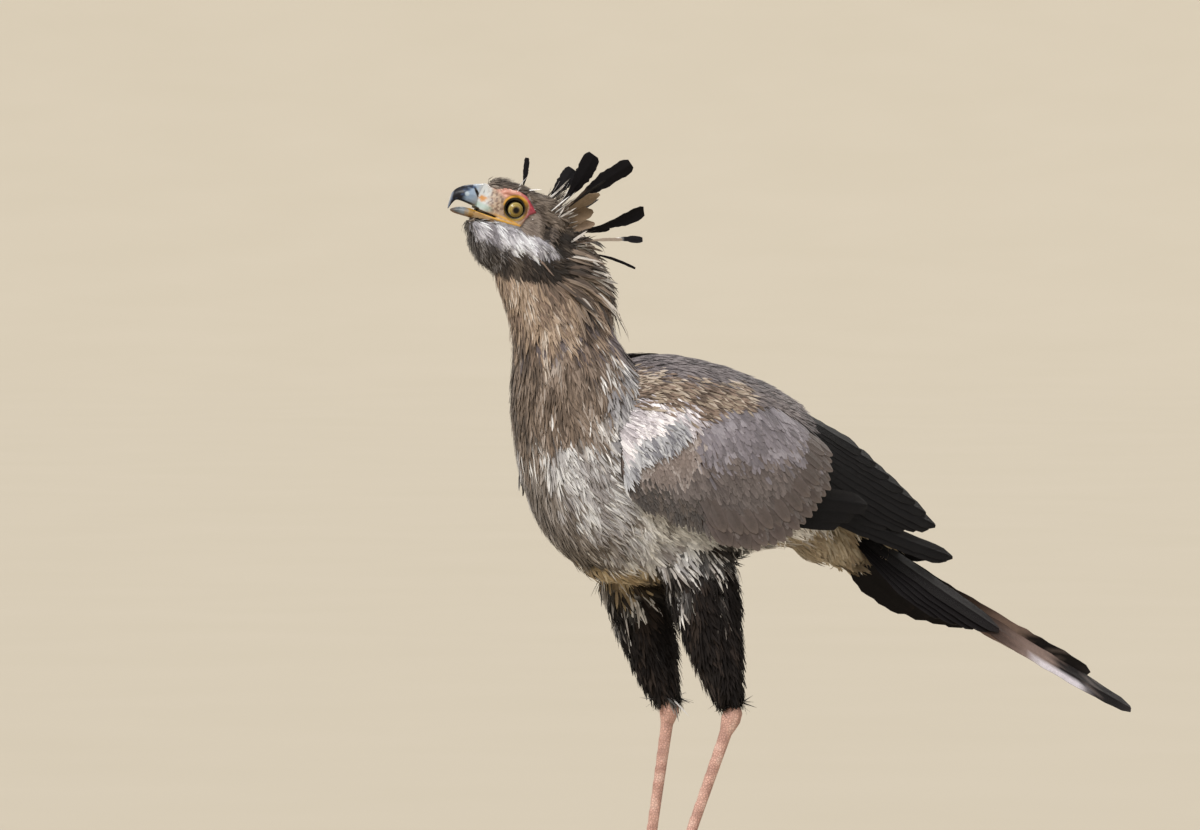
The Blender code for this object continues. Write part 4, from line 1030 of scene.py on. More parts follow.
# %% [markdown]
# A long feather is a thin closed plate with a raised shaft, ribs across it and a ragged edge.
# One function turns a grid of points and its normals into such a plate, and a basket collects
# plates until they are written as one mesh.


# %% Plates for long feathers
PLATE_PATCH = 0.0014  # half a plate's patch on the unwrap


class Basket:
    """Collects feather plates, to be written as one piece."""

    def __init__(self):
        self.points, self.faces, self.tints, self.overs, self.bakes = [], [], [], [], []
        self.count = 0

    def plate(self, grid, normals, across, far, thick, tint, shaft=0.5):
        """A plate on a grid of ribs by columns. Across and far, in mm, say where on the feather
        its points and its ribs are."""
        ribs, cols = grid.shape[:2]
        far = far[:, None] + across * 0
        bulge = np.zeros(cols)
        bulge[cols // 2] = shaft
        top = grid + normals * (thick / 2 + bulge[None, :, None])
        low = grid - normals * (thick / 2 + 0.5 * bulge[None, :, None])
        index = np.arange(ribs * cols).reshape(ribs, cols) + self.count
        a, b, c, d = index[:-1, :-1], index[:-1, 1:], index[1:, 1:], index[1:, :-1]
        up = np.stack([a, b, c, d], -1).reshape(-1, 4)
        down = up[:, ::-1] + ribs * cols
        rim_top = np.concatenate([index[0], index[1:, -1], index[-1, -2::-1], index[-2:0:-1, 0]])
        rim_low = rim_top + ribs * cols
        wall = np.stack([rim_top, rim_low, np.roll(rim_low, -1), np.roll(rim_top, -1)], -1)
        self.faces += [up, down, wall]
        self.points += [top.reshape(-1, 3), low.reshape(-1, 3)]
        self.tints += [tint.reshape(-1, 3)] * 2
        over = np.stack([across, far], -1).reshape(-1, 2) * MM
        self.overs += [over] * 2
        root = bake_place(grid[:1, cols // 2])
        lean = np.stack([np.linspace(-1, 1, cols)[None] + far * 0, far / max(far.max(), 1) * 2 - 1], -1)
        self.bakes += [(root[None] + lean * PLATE_PATCH).reshape(-1, 2)] * 2
        self.count += 2 * ribs * cols

    def write(self, name):
        points, *rest = (np.concatenate(rows) for rows in
                         (self.points, self.faces, self.tints, self.overs, self.bakes))
        obj = write_mesh(name, placed(points), *rest)
        mend(obj, bpy.ops.mesh.normals_make_consistent, inside=False)
        return crisp(obj)


# %% [markdown]
# A long feather's ribs narrow towards its ends after a shape, with a ragged edge. On the wing
# each rib is laid on the sheet, and a base colour goes over to a paler edge and tip.

# %% Long feathers on the wing
COLUMNS = np.array([-1, -0.92, -0.55, -0.12, 0, 0.12, 0.55, 0.92, 1])  # shares of the half width


def outline(shape, t, draw, ragged=0.05):
    """Half width along a feather as shares, left and right, with a ragged edge."""
    share = np.interp(t, *zip(*shape))
    left, right = (1 - ragged * draw.random((2, len(t))) * smooth(0.2, 0.5, t))
    return np.stack([share * left, share * right], -1)


def rib_halves(half, shares):
    """Where each rib's columns lie across the feather, mm."""
    side = np.where(COLUMNS < 0, shares[:, :1], shares[:, 1:])
    return half * side * COLUMNS[None]


def lay_on_sheet(basket, root, tip, half, lifts, shape, side, tint, draw,
                 ribs=12, thick=0.7, ragged=0.05):
    """A long feather on the wing's sheet from root to tip, both (x, z), lifted off it by lifts."""
    t = np.linspace(0, 1, ribs) ** 0.9
    x = blend(root[0], tip[0], t)
    z = blend(root[1], tip[1], t)
    q = share_at(x, z)
    middle = sheet_point(x, q)
    ahead = unit(np.gradient(middle, axis=0))
    across = unit(np.cross(sheet_normal(x, q), ahead))
    offsets = rib_halves(half, outline(shape, t, draw, ragged))
    aim = middle[:, None] + across[:, None] * offsets[..., None]
    near = share_at(aim[..., 0], aim[..., 2])
    normal = sheet_normal(aim[..., 0], near)
    lift = blend(lifts[0], lifts[1], smooth(0, 0.8, t))[:, None]
    cup = -0.06 * half * COLUMNS[None] ** 2
    grid = sheet_point(aim[..., 0], near) + normal * (lift + cup)[..., None]
    colour = tint(*np.meshgrid(t, COLUMNS, indexing="ij"))
    far = length_along(middle)
    basket.plate(sided(grid, side), normal * (1, side, 1), offsets, far, thick, colour)


def two_tone(base, edge, tip, draw):
    """Colours over a feather: a base, a paler edge and a tip, each hex, with a slight scatter."""
    shade = draw.uniform(0.88, 1.1)

    def tint(t, s):
        out = blend(rgb(base), rgb(edge), (np.abs(s) ** 3 * smooth(0.1, 0.8, t))[..., None])
        return blend(out, rgb(tip), (smooth(0.86, 1.0, t) * 0.8)[..., None]) * shade

    return tint


# %% [markdown]
# The black flight feathers come from under the coverts and fan to the wing's tip. Over their roots lie
# the greater coverts, long and grey-brown with pale rims, whose tips draw the wing's lower and rear edge,
# and over those the median coverts. Their grey-brown is darkened as painted shade of the wing's lower
# part.

# %% Flight feathers and long coverts
# tip's x, tip's share down the sheet, root's share, half width; mm
FLIGHTS = (
    (302, 0.15, 0.30, 18), (324, 0.18, 0.36, 17), (345, 0.21, 0.42, 17), (366, 0.25, 0.48, 17),
    (385, 0.29, 0.54, 17), (402, 0.33, 0.60, 17), (415, 0.44, 0.66, 17), (403, 0.54, 0.72, 20),
    (386, 0.64, 0.78, 20), (362, 0.75, 0.86, 20), (330, 0.86, 0.94, 20), (296, 0.97, 1.02, 18),
    (442, 0.80, 1.02, 14), (430, 0.92, 1.06, 13),
)
FLIGHT_ROOTS = (150.0, 165.0)  # where they root, in turn: x
# the secondaries whose edges show under the coverts: root and tip as (x, z), half width; mm
LOW_FLIGHTS = (((48, 560), (226, 541), 14), ((84, 566), (252, 550), 15), ((116, 580), (280, 560), 16))
FLIGHT_SHAPE = ((0, 0.45), (0.4, 0.95), (0.75, 1.0), (0.92, 0.88), (0.98, 0.6), (1, 0.22))
COVERT_SHAPE = ((0, 0.6), (0.55, 1.0), (0.85, 0.9), (0.95, 0.62), (1, 0.2))
# the covert-clad part's edge: a place along it, and x and z there
COVERT_TIPS = ((0, 32, 517), (1, 70, 511), (2, 112, 517), (3, 152, 536), (4, 186, 562),
               (5, 212, 590), (6, 228, 622))
COVERT_ANGLES = (-66.0, -30.0)  # the way they point at the edge's two ends, degrees
# the long coverts' grey-brown bases, and their edge and tip hues further down, are darkened as painted
# shade of the wing's lower part
BLACKS, COVERT_BASES = ("#08070a", "#121011", "#0e0c0d"), ("#453a37", "#4d433f", "#3f3431")
# count, length, half width, inset from the edge, lifts at root and tip; mm
COVERT_ROWS = ((20, 96, 12.0, 0, -5, 1.0), (21, 74, 10.0, 20, -4, 2.2))


def covert_places(count, length, inset, draw):
    """Roots and tips, as (x, z), of a row of coverts along the wing's edge."""
    for i in range(count):
        t = i / (count - 1)
        tip_x, tip_z = table_at(COVERT_TIPS, np.array(t * 6.0))
        angle = math.radians(blend(*COVERT_ANGLES, t) + draw.normal(0, 2.0))
        way = np.array([math.cos(angle), math.sin(angle)])
        tip = np.array([tip_x, tip_z]) - way * (inset + draw.uniform(-3, 3))
        yield tip - way * length, tip


for side, wing_name in SIDES:
    draw = np.random.default_rng(31 + side)
    basket = Basket()
    for i, (tip_x, tip_q, root_q, half) in enumerate(FLIGHTS):
        root_x = FLIGHT_ROOTS[i % 2]
        root = (root_x, float(sheet_point(root_x, root_q)[2]))
        tip = (tip_x, float(sheet_point(tip_x, tip_q)[2]))
        tint = two_tone(*BLACKS, draw)
        lifts = (-1.5 - 1.0 * i, -1.5 - 1.3 * i)
        lay_on_sheet(basket, root, tip, half, lifts, FLIGHT_SHAPE, side, tint, draw, 20, 0.6, 0.14)
    for i, (root, tip, half) in enumerate(LOW_FLIGHTS):
        tint = two_tone(*BLACKS, draw)
        lay_on_sheet(basket, root, tip, half, (-7.0 + i, -5.0 + i), FLIGHT_SHAPE, side, tint, draw, 14)
    dress(basket.write(f"{wing_name}_flights"), BLACK_FEATHER, "black_feathers", wing_name)
    basket = Basket()
    for row, (count, length, half, inset, low_lift, high_lift) in enumerate(COVERT_ROWS):
        for i, (root, tip) in enumerate(covert_places(count, length, inset, draw)):
            # grey-brown with paler rims, darkened as painted shade of the wing's lower part
            tint = two_tone(COVERT_BASES[(3 * i + row) % 3], "#5a4f4c", "#685c56", draw)
            lifts = (low_lift, high_lift + 1.2 * (i % 2))
            lay_on_sheet(basket, root, tip, half, lifts, COVERT_SHAPE, side, tint, draw)
    dress(basket.write(f"{wing_name}_long_coverts"), COVERT_FEATHER, "wing_coverts")

# %% [markdown]
# The wing's arm is a closed bed under the small feathers. It is lofted between the sheet and the
# body from the same table as the solid, a little slimmer than it.


# %% The wing's bed
def wing_bed(side, name):
    rows, steps = 24, 10
    points = []
    for i in range(rows + 1):
        x = blend(WING_BED[0][0], WING_BED[-1][0], i / rows)
        upper, lower, thick = table_at(WING_BED, np.array(x))
        t = np.linspace(0, 1, steps + 1)
        q = blend(share_at(x, upper), share_at(x, lower), t)
        body = thick * (0.18 + 0.82 * np.sin(np.pi * t) ** 0.6)[:, None]
        surface, way = sheet_point(x + t * 0, q), sheet_normal(x + t * 0, q)
        outside = surface - way * (2.5 + 0.08 * thick - 0.08 * body)
        inside = surface - way * (0.9 * body + 0.10 * thick)
        points.append(np.concatenate([outside, inside[::-1]]))
    grid = sided(np.array(points), side)
    around = grid.shape[1]
    index = np.arange(grid.size // 3).reshape(-1, around)
    a, b = index[:-1], index[1:]
    nxt = np.roll(np.arange(around), -1)
    quads = np.stack([a, b, b[:, nxt], a[:, nxt]], -1).reshape(-1, 4)
    caps = [index[0, ::-1].tolist(), index[-1].tolist()]
    tint = np.broadcast_to(rgb("#5d524e"), (grid.size // 3, 3))
    return write_mesh(name, placed(grid.reshape(-1, 3)), quads.tolist() + caps, tint)


for side, wing_name in SIDES:
    bed = wing_bed(side, f"{wing_name}_bed")
    mend(bed, bpy.ops.mesh.normals_make_consistent, inside=False)
    dress(bed, downy, "wing_coverts")

# %% [markdown]
# The small coverts' zones are told apart by lines on the wing, read off in x and z. The firm
# ones are narrow vanes. Above the shoulder line the scapulars and the white down are softer and
# finer, so they are locks, and they spill over the firm ones and over the flight feathers' roots.

# %% Zones of the wing
SHOULDER_LINE = ((-100, 600), (-94, 606), (-84, 629), (-55, 641), (-22, 656), (0, 670), (36, 687),
                 (100, 690), (150, 684), (230, 640))
# colours with shares, length, width, rise, angle, shape; mm and degrees
ZONES = {
    "covert": ((("#4b403f", 3), ("#5b514f", 4), ("#6d6260", 3)), 20, 6.4, 1.8, 0, "vane"),
    "bend": ((("#7b6d67", 3), ("#8e817c", 4), ("#a89e9a", 2)), 15, 4.8, 1.2, -8, "vane"),
    "mottled": ((("#1e1816", 3), ("#312823", 4), ("#4f433a", 2)), 16, 5.0, 1.8, 0, "vane"),
    # the top of the wing: lavender grey plumage, painted paler and bluer as the sheen where it faces the
    # sky
    "lavender_sheen": ((("#645f67", 3), ("#7a747d", 4), ("#908b94", 2)), 21, 6.2, 1.8, 4, "vane"),
    "slate": ((("#474144", 2), ("#645c5e", 4), ("#7d7577", 3)), 26, 4.8, 3.0, 36, "lock"),
    "scapular": ((("#605248", 3), ("#857265", 4), ("#9a8b7b", 3), ("#b8aa9c", 2)),
                 24, 4.6, 4.4, 36, "lock"),
    "mantle": ((("#484142", 2), ("#635a5b", 4), ("#7b7170", 2)), 28, 4.8, 3.0, 38, "lock"),
    "pinkish": ((("#b1aaaf", 3), ("#d1cacf", 4), ("#f1ecee", 3)), 22, 3.8, 3.0, 12, "lock"),
    "down": ((("#807f86", 2), ("#a6a6ab", 4), ("#c4c4c7", 3)), 24, 3.4, 5.0, 4, "lock"),
}
ZONE_NAMES = list(ZONES)
FIRM = [k for k in ZONE_NAMES if ZONES[k][5] == "vane"]


def line_at(x):
    return np.interp(x, *zip(*SHOULDER_LINE))


def zone_of(x, z, draw):
    """Which zone places of the wing belong to, as an index, with blurred borders."""
    blur = draw.normal(0, 4.0, len(x))
    x2, z2, above = x + 2 * blur, z + 2 * blur, z > line_at(x)
    zone = np.full(len(x), ZONE_NAMES.index("covert"))
    for name, there in (
        # the top of the wing, whose lavender grey carries a painted sheen
        ("lavender_sheen", (x2 > 0) & (z + 3 * blur > 628)),
        ("bend", (x2 < 6) & (z2 > 606 + 0.3 * x)),
        ("mottled", (z2 < 603 - 0.3 * (x + 90)) & (x2 < 12)),
        ("scapular", above),
        ("pinkish", above & (x2 < 6) & (z2 < 700)),
        ("down", above & (x + blur < -18) & (z + blur < line_at(x) + 22)),
        ("mantle", above & (x2 > 86)),
        ("slate", above & (z + blur > 724 - 0.1 * x)),
    ):
        zone[there] = ZONE_NAMES.index(name)
    return zone


def sown_evenly(tries, radius, reach, draw, top_of, low_of):
    """Places in x and z of the sheet, each at least a radius from the others, less at the bend."""
    x = draw.uniform(*reach, tries)
    z = blend(low_of(x), top_of(x), draw.random(tries))
    spots = sheet_point(x, share_at(x, z))
    room = radius * blend(0.7, 1.1, smooth(-90, 150, x))
    kept = []
    for i in range(tries):
        if not kept or (np.abs(spots[kept] - spots[i]).sum(1) > room[i] * 1.3).all():
            kept.append(i)
    return np.stack([x[kept], z[kept]], -1)


EDGE_X = np.linspace(0, 6, 121)
COVERT_EDGE = np.stack(table_at(COVERT_TIPS, EDGE_X), -1)


def from_edge(places):
    """How far places on the wing are from the line of the long coverts' tips, mm."""
    return np.linalg.norm(places[:, None] - COVERT_EDGE[None], axis=-1).min(1)


# %% [markdown]
# The places are sown evenly, each a little away from its neighbours, and grow from fine scales
# at the wing's bend to broader ones behind. Both wings use the same places, mirrored.

# %% Small coverts, scapulars and down
# how many places are tried, how far they keep apart and where they begin and end in x; mm
FIRM_SOWING, SOFT_SOWING = (14000, 3.7, (-97, 212)), (15000, 2.9, (-97, 196))
BARE_EDGE = 34.0
draw = np.random.default_rng(41)
firm_places = sown_evenly(*FIRM_SOWING, draw, lambda x: table_at(WING_BED, x)[0],
                          lambda x: table_at(WING_BED, x)[1] + 4)
inner = from_edge(firm_places) + draw.normal(0, 3.0, len(firm_places)) > BARE_EDGE
firm_places = firm_places[inner | (firm_places[:, 0] < 10)]
soft_places = sown_evenly(*SOFT_SOWING, draw, lambda x: table_at(WING_SHEET, x)[0] - 3,
                          lambda x: line_at(x) - 3)
print(len(firm_places), "firm and", len(soft_places), "soft feathers sown on each wing")


def wing_coat(name, places, side, firm, seed):
    draw = np.random.default_rng(seed)
    zone = zone_of(places[:, 0], places[:, 1], draw)
    chosen = np.isin(zone, [ZONE_NAMES.index(k) for k in FIRM]) == firm
    places, zone = places[chosen], zone[chosen]
    x, z = places.T
    n, q = len(x), share_at(*places.T)
    at, up = sheet_point(x, q), sheet_normal(x, q)
    length, width, rise, lean = columns_of(ZONES, zone, (1, 2, 3, 4))
    angle = blend(-74, -34, smooth(-100, 220, x)) + lean + 12 * ripple(at, 30, 7)
    angle = np.radians(angle + draw.normal(0, 4 if firm else 10, n))
    along_x = unit(sheet_point(x + 2, q) - sheet_point(x - 2, q))
    down_sheet = unit(np.cross(along_x, up))
    down_sheet = down_sheet * np.where(down_sheet[:, 2:3] > 0, -1, 1)
    lie = unit(along_x * np.cos(angle)[:, None] - down_sheet * np.sin(angle)[:, None])
    scale = blend(0.74, 1.15, smooth(-90, 150, x)) if firm else 1.0
    length = length * scale * draw.uniform(0.85, 1.2, n)
    width = width * scale * draw.uniform(0.8, 1.2, n)
    rise = rise * draw.uniform(0.5, 1.15, n)
    ahead = at + lie * length[:, None]
    bend = ((ahead - sheet_point(ahead[:, 0], share_at(ahead[:, 0], ahead[:, 2]))) * up).sum(-1)
    tint = tints_of(ZONES, zone, at, draw, 0.7) * draw.uniform(0.92, 1.1, (n, 1))
    # painted shade: the firm coverts darken towards the wing's lower edge, which light from above reaches
    # less, and a little towards the rear
    shade = blend(0.56, 1.0, smooth(560, 650, z)) * blend(1.0, 0.85, smooth(110, 190, x))
    tint = tint * (shade[:, None] if firm else 1.0)
    edge = blend(tint, rgb("#b9aea8"), 0.16 if firm else 0.0)
    mirror = np.array([1, side, 1])
    spec = {"length": length, "width": width, "rise": rise, "bend": bend,
            "sway": draw.normal(0, 0.06, n) * length, "thick": FEATHER_THICK}
    # the roots are darkened as painted shade, the soft feathers' more, since little light gets in between
    # the feathers
    tints = (tint * (0.84 if firm else 0.7), blend(tint, edge, 0.5) * 1.04, edge)
    over = smooth(0, 40, x)[:, None] * 2.4 if firm else 0.0
    at = sided(at + up * (over - 1.6), side)
    finish = COVERT_FEATHER if firm else SOFT_FEATHER
    piece = coat(name, at, up * mirror, lie * mirror, spec, tints, "vane" if firm else "lock")
    dress(piece, finish, "wing_coverts")


for side, wing_name in SIDES:
    wing_coat(f"{wing_name}_coverts", firm_places, side, True, 51 + side)
    wing_coat(f"{wing_name}_scapulars", soft_places, side, False, 54 + side)

# %% [markdown]
# The tail is a folded roof of paired feathers. The middle pair is drawn out far beyond the others. They
# are black at the root, then brown and taupe, with a black band before the tip and a pale stripe along
# the lower one, and the left one of the middle pair has a painted highlight along its shaft. Each is a
# long plate whose shaft lies near its inner edge.

# %% Tail
TAIL_BASE = np.array((286.0, 0.0, 549.0))
TAIL_SLOPES, TAIL_DROOP, TAIL_ROOF = (-30.2, -28.4), -0.6, 48.0  # degrees
TAIL_SPREAD, TAIL_STEP, TAIL_SAG, TAIL_CUP = 7.0, 1.1, 9.0, 0.05
# length of the left and of the right feather, and their half width; mm
TAIL_PAIRS = ((498, 434, 20), (268, 262, 20), (250, 244, 21), (228, 222, 21), (202, 198, 21),
              (176, 172, 20))
# share of the middle pair's length, and the colour there
TAIL_BANDS = ((0.0, "#121013"), (0.40, "#151214"), (0.48, "#2c2320"), (0.56, "#4a3b35"),
              (0.64, "#7d6a63"), (0.73, "#85736c"), (0.755, "#1c1718"), (0.84, "#141113"),
              (0.865, "#5b5250"), (0.885, "#171416"), (0.95, "#141113"), (1.0, "#2b2729"))


def between(stops, place):
    """Colours at places between stops, which are (place, hex) pairs."""
    return read_off(place, [p for p, _ in stops], [rgb(c) for _, c in stops])


def tail_tint(pair, left, draw):
    def tint(t, s):
        edge = 0.012 * np.sin(s * 9 + draw.uniform(0, 6))
        place = np.clip(t + edge, 0, 1) if pair == 0 else t * 0.42
        out = between(TAIL_BANDS, place)
        if pair == 0 and not left:
            stripe = smooth(0.66, 0.72, t) * smooth(0.84, 0.8, t) * smooth(0.5, 0.8, s)
            out = blend(out, rgb("#b9aaa6"), stripe[..., None] * 0.8)
        if pair == 0 and left:
            # painted highlight: a pale line along the left middle feather's raised shaft
            shaft = smooth(0.16, 0.04, np.abs(s)) * smooth(0.04, 0.1, t) * smooth(0.46, 0.36, t)
            out = blend(out, rgb("#a9a4ae"), shaft[..., None] * 0.8)
            stripe = smooth(0.63, 0.69, t) * smooth(0.86, 0.82, t) * smooth(0.1, 0.5, s)
            out = blend(out, rgb("#d6d0d9"), stripe[..., None] * 0.9)
        return out

    return tint


TAIL_SHAPE = ((0, 0.45), (0.3, 0.9), (0.6, 1.0), (0.85, 0.9), (0.95, 0.74), (0.985, 0.6), (1, 0.3))
basket = Basket()
draw = np.random.default_rng(61)
for pair, (left_long, right_long, half) in enumerate(TAIL_PAIRS):
    for side, length in ((1, left_long), (-1, right_long)):
        slope = math.radians(TAIL_SLOPES[0 if side == 1 or pair else 1] + TAIL_DROOP * pair)
        roof = math.radians(TAIL_ROOF)
        ahead = np.array([math.cos(slope), 0, math.sin(slope)])
        up = np.array([-math.sin(slope), 0, math.cos(slope)])
        out = np.array([0.0, -side, 0.0])
        across = out * math.cos(roof) - up * math.sin(roof)
        way = out * math.sin(roof) + up * math.cos(roof)
        ribs = 34 if pair == 0 else 18
        t = np.linspace(0, 1, ribs)
        inner = half + 1.0 + TAIL_SPREAD * pair * smooth(0, 1, t * 1.6)
        sag = -TAIL_SAG * np.sin(np.pi * t) * (pair == 0)
        middle = TAIL_BASE + ahead * (length * t)[:, None] + across * inner[:, None]
        middle = middle - way * (TAIL_STEP * pair) + up * sag[:, None]
        offsets = rib_halves(half, outline(TAIL_SHAPE, t, draw, 0.12))
        grid = middle[:, None] + across * offsets[..., None]
        grid = grid - way * (TAIL_CUP * half * COLUMNS[None] ** 2)[..., None]
        normals = np.broadcast_to(way, grid.shape)
        colour = tail_tint(pair, side == 1, draw)(*np.meshgrid(t, COLUMNS, indexing="ij"))
        basket.plate(grid, normals, offsets, length * t, 0.7, colour, 0.7)
dress(basket.write("tail_feathers"), BLACK_FEATHER, "black_feathers", "tail")

# %% [markdown]
# The crest is a loose fan of spoon-ended quills on the nape. Near the root each is a bare dark
# shaft with wisps, and the spoon is black, ragged at its tip. The rows are those of the solids.

# %% Crest
# root and tip as (forward, up, left) of the head, half width, bow, lean in degrees, and the share
# of its length where the spoon begins; mm
CREST = (
    ((-39, 19, -7), (-59, 70, -13), 10, 2, 10, 0.3), ((-50, 12, 6), (-77, 93, 12), 12.5, 4, -8, 0.4),
    ((-52, 2, 3), (-125, 96, 10), 12, -3, 6, 0.42), ((-66, -10, -8), (-161, 46, -18), 10.5, -7, -8, 0.55),
    ((-78, -22, 8), (-165, 10, 18), 5.4, 3, 8, 0.7), ((-94, -28, -4), (-171, -26, -12), 2.0, 4, 0, 0.3),
    ((-60, -4, -10), (-102, 42, -28), 9, 3, 16, 0.4), ((-52, 2, 10), (-98, 66, 30), 8, -3, -16, 0.4),
    ((-74, -16, -10), (-128, 14, -32), 6, 3, 12, 0.5), ((-80, -22, 10), (-138, 2, 36), 2.4, 3, -12, 0.4),
    ((-6, 24, -4), (0, 66, -7), 3.6, 1, 0, 0.3), ((-54, -2, 4), (-99, 48, 9), 13.5, -4, 4, 0.02),
    ((-56, -6, 5), (-97, 26, 6), 11.0, 2, 4, 0.02), ((-60, -14, 4), (-104, 12, 2), 8.0, 3, 4, 0.05),
)
CREST_TONES = {2: ("#4a3d35", "#121013"), 4: ("#2a2320", "#121013"), 6: ("#4a3c33", "#1c181a"),
               9: ("#4f4238", "#8d8073"), 11: ("#5b4b40", "#85735f"), 12: ("#4a3c33", "#74624f"),
               13: ("#4a3c33", "#8a7766")}
BARE_QUILL, SPOON_END, SOFT_VANE, SPOON_CUP, PALE_SHAFTED = 0.16, 0.62, 0.1, 0.12, 4
basket = Basket()
draw = np.random.default_rng(71)
head_up = head_way(-1.0, 1.0, 0.0)
for i, (root_at, tip_at, half, bow, lean, spoon) in enumerate(CREST):
    spoon_shape = ((0, BARE_QUILL), (max(spoon - 0.1, 0.01), BARE_QUILL + 0.06), (spoon + 0.12, 0.7),
                   (min(spoon + 0.26, 0.86), 1.0), (0.9, 1.0), (0.97, 0.86), (1, SPOON_END))
    if spoon < SOFT_VANE:
        spoon_shape = ((0, BARE_QUILL), (0.3, 0.8), (0.6, 1.0), (0.85, 0.8), (1, 0.2))
    start, end = head_drawn(*map(float, root_at)), head_drawn(*map(float, tip_at))
    ahead = unit(end - start)
    lift = unit(head_up - ahead * (head_up @ ahead))
    aside = unit(np.cross(ahead, lift))
    turn = math.radians(90 + lean)
    across = aside * math.cos(turn) + lift * math.sin(turn)
    way = unit(np.cross(across, ahead))
    t = np.linspace(0, 1, 26)
    middle = start + (end - start) * t[:, None] + lift * (bow * np.sin(np.pi * t))[:, None]
    offsets = rib_halves(half, outline(spoon_shape, t, draw, 0.18))
    grid = middle[:, None] + across * offsets[..., None]
    cup = SPOON_CUP * half * (COLUMNS[None] ** 2) * smooth(0.3, 0.8, t)[:, None]
    grid = grid - way * cup[..., None]
    near_tone, far_tone = CREST_TONES.get(i, ("#171416", "#121013"))
    mix = smooth(spoon - 0.02, spoon + 0.08, t)[:, None, None] + offsets[..., None] * 0
    colour = blend(rgb(near_tone), rgb(far_tone), mix)
    if i == PALE_SHAFTED:
        pale = smooth(0.44, 0.5, t) * smooth(0.74, 0.68, t)
        colour = blend(colour, rgb("#f0eeec"), pale[:, None, None] + offsets[..., None] * 0)
    far = np.linalg.norm(end - start) * t
    basket.plate(grid, np.broadcast_to(way, grid.shape), offsets, far, 0.55, colour, 0.45)
dress(basket.write("crest_feathers"), BLACK_FEATHER, "black_feathers", "crest")

# %% [markdown]
# Pale down and dark wisps stand round the quills' roots, where the crest parts the nape's
# plumage. They are locks that follow each quill for a few centimetres.

# %% Down at the crest's roots
WISPS, WISP_LENGTH, WISP_WIDTH = 24, 25.0, 2.8
draw = np.random.default_rng(72)
rows = [row for row in CREST if row[2] > 3.6]
starts = np.array([head_drawn(*map(float, row[0])) for row in rows]).repeat(WISPS, 0)
ends = np.array([head_drawn(*map(float, row[1])) for row in rows]).repeat(WISPS, 0)
ways = unit(unit(ends - starts) + draw.normal(0, 0.22, starts.shape))
starts = starts + draw.normal(0, 3.2, starts.shape) + ways * draw.uniform(-6, 9, (len(starts), 1))
outward = unit(head_up - ways * (ways @ head_up)[:, None])
wisp_tones = np.array([rgb(c) for c in ("#f1efec", "#cfc8c2", "#6b5d52", "#2a2422")])
tint = wisp_tones[draw.integers(0, 4, len(starts))]
spec = {"length": WISP_LENGTH * draw.uniform(0.6, 1.3, len(starts)), "rise": 3.0, "bend": 0.0,
        "width": WISP_WIDTH * draw.uniform(0.6, 1.2, len(starts)),
        "sway": draw.normal(0, 2.5, len(starts)), "thick": 0.4}
# the roots are darkened as painted shade, since little light gets in between the feathers
wisps = coat("crest_down", starts, outward, ways, spec, (tint * 0.7, tint, tint), "lock")
dress(wisps, NECK_FEATHER, "neck_feathers")

# %% [markdown]
# The bare skin of the face is a fine copy of the head's own surface, with its brow, its lids and
# the mouth's open wedge. It is melted at a millimetre, cut down to the bare part, sunk at its rim
# and given a thickness.

# %% Bare face
# the bare skin's outline, as forward and up of the head; mm
FACE_OUTLINE = np.array([
    (60, 22), (36, 19.5), (29, 19), (22, 23), (12, 26), (0, 25.5), (-11, 21.5), (-20, 13),
    (-29, 3.5), (-21, -3), (-17, -10), (-15, -17), (-12, -21.5), (0, -22.5), (24, -23), (60, -27),
], float)


def inside(outline, f, u):
    """Whether places lie inside an outline, by counting its edges on one side of them."""
    odd = np.zeros(len(f), bool)
    for (f0, u0), (f1, u1) in zip(outline, np.roll(outline, -1, 0)):
        crosses = (u0 > u) != (u1 > u)
        rise = u1 - u0 if abs(u1 - u0) > 1e-9 else 1e-9
        odd ^= crosses & (f < (f1 - f0) * (u - u0) / rise + f0)
    return odd


def cut_to(obj, keep):
    """Deletes, in edit mode, the points of a mesh that a test doesn't keep."""
    gone = ~keep(head_local(drawn_of(points_of(obj.data))))
    pick(obj)
    bpy.ops.object.mode_set(mode="EDIT")
    bpy.ops.mesh.select_mode(type="VERT")
    bpy.ops.mesh.select_all(action="DESELECT")
    bpy.ops.object.mode_set(mode="OBJECT")
    obj.data.vertices.foreach_set("select", gone)
    bpy.ops.object.mode_set(mode="EDIT")
    bpy.ops.mesh.delete(type="VERT")
    bpy.ops.object.mode_set(mode="OBJECT")


def from_outline(outline, f, u):
    """How far places are from an outline's line, mm."""
    best = np.full(len(f), 1e9)
    place = np.stack([f, u], -1)
    for a, b in zip(outline[:-1], outline[1:]):
        t = np.clip((place - a) @ (b - a) / ((b - a) @ (b - a)), 0, 1)
        best = np.minimum(best, np.linalg.norm(place - a - t[:, None] * (b - a), axis=1))
    return best


FACE_VOXEL, FACE_THICK = 0.95 * MM, 1.2 * MM
RIM_SINKS, RIM_WIDE = 2.6, 3.4  # mm
face = melted([copy_of("head")], "face", FACE_VOXEL, 5)
cut_to(face, lambda p: inside(FACE_OUTLINE, p[:, 0], p[:, 1]) & (p[:, 0] < 47))
points = points_of(face.data)
f, u, _ = head_local(drawn_of(points)).T
rim = smooth(RIM_WIDE, 0.4, from_outline(FACE_OUTLINE[1:-1], f, u))
move_points(face.data, points - normals_of(face.data) * (rim * RIM_SINKS * MM)[:, None])
shell = face.modifiers.new("thickness", "SOLIDIFY")
shell.thickness, shell.offset = FACE_THICK, -1.0
bpy.ops.object.modifier_apply(modifier=shell.name)
print("bare face:", len(face.data.polygons), "faces")

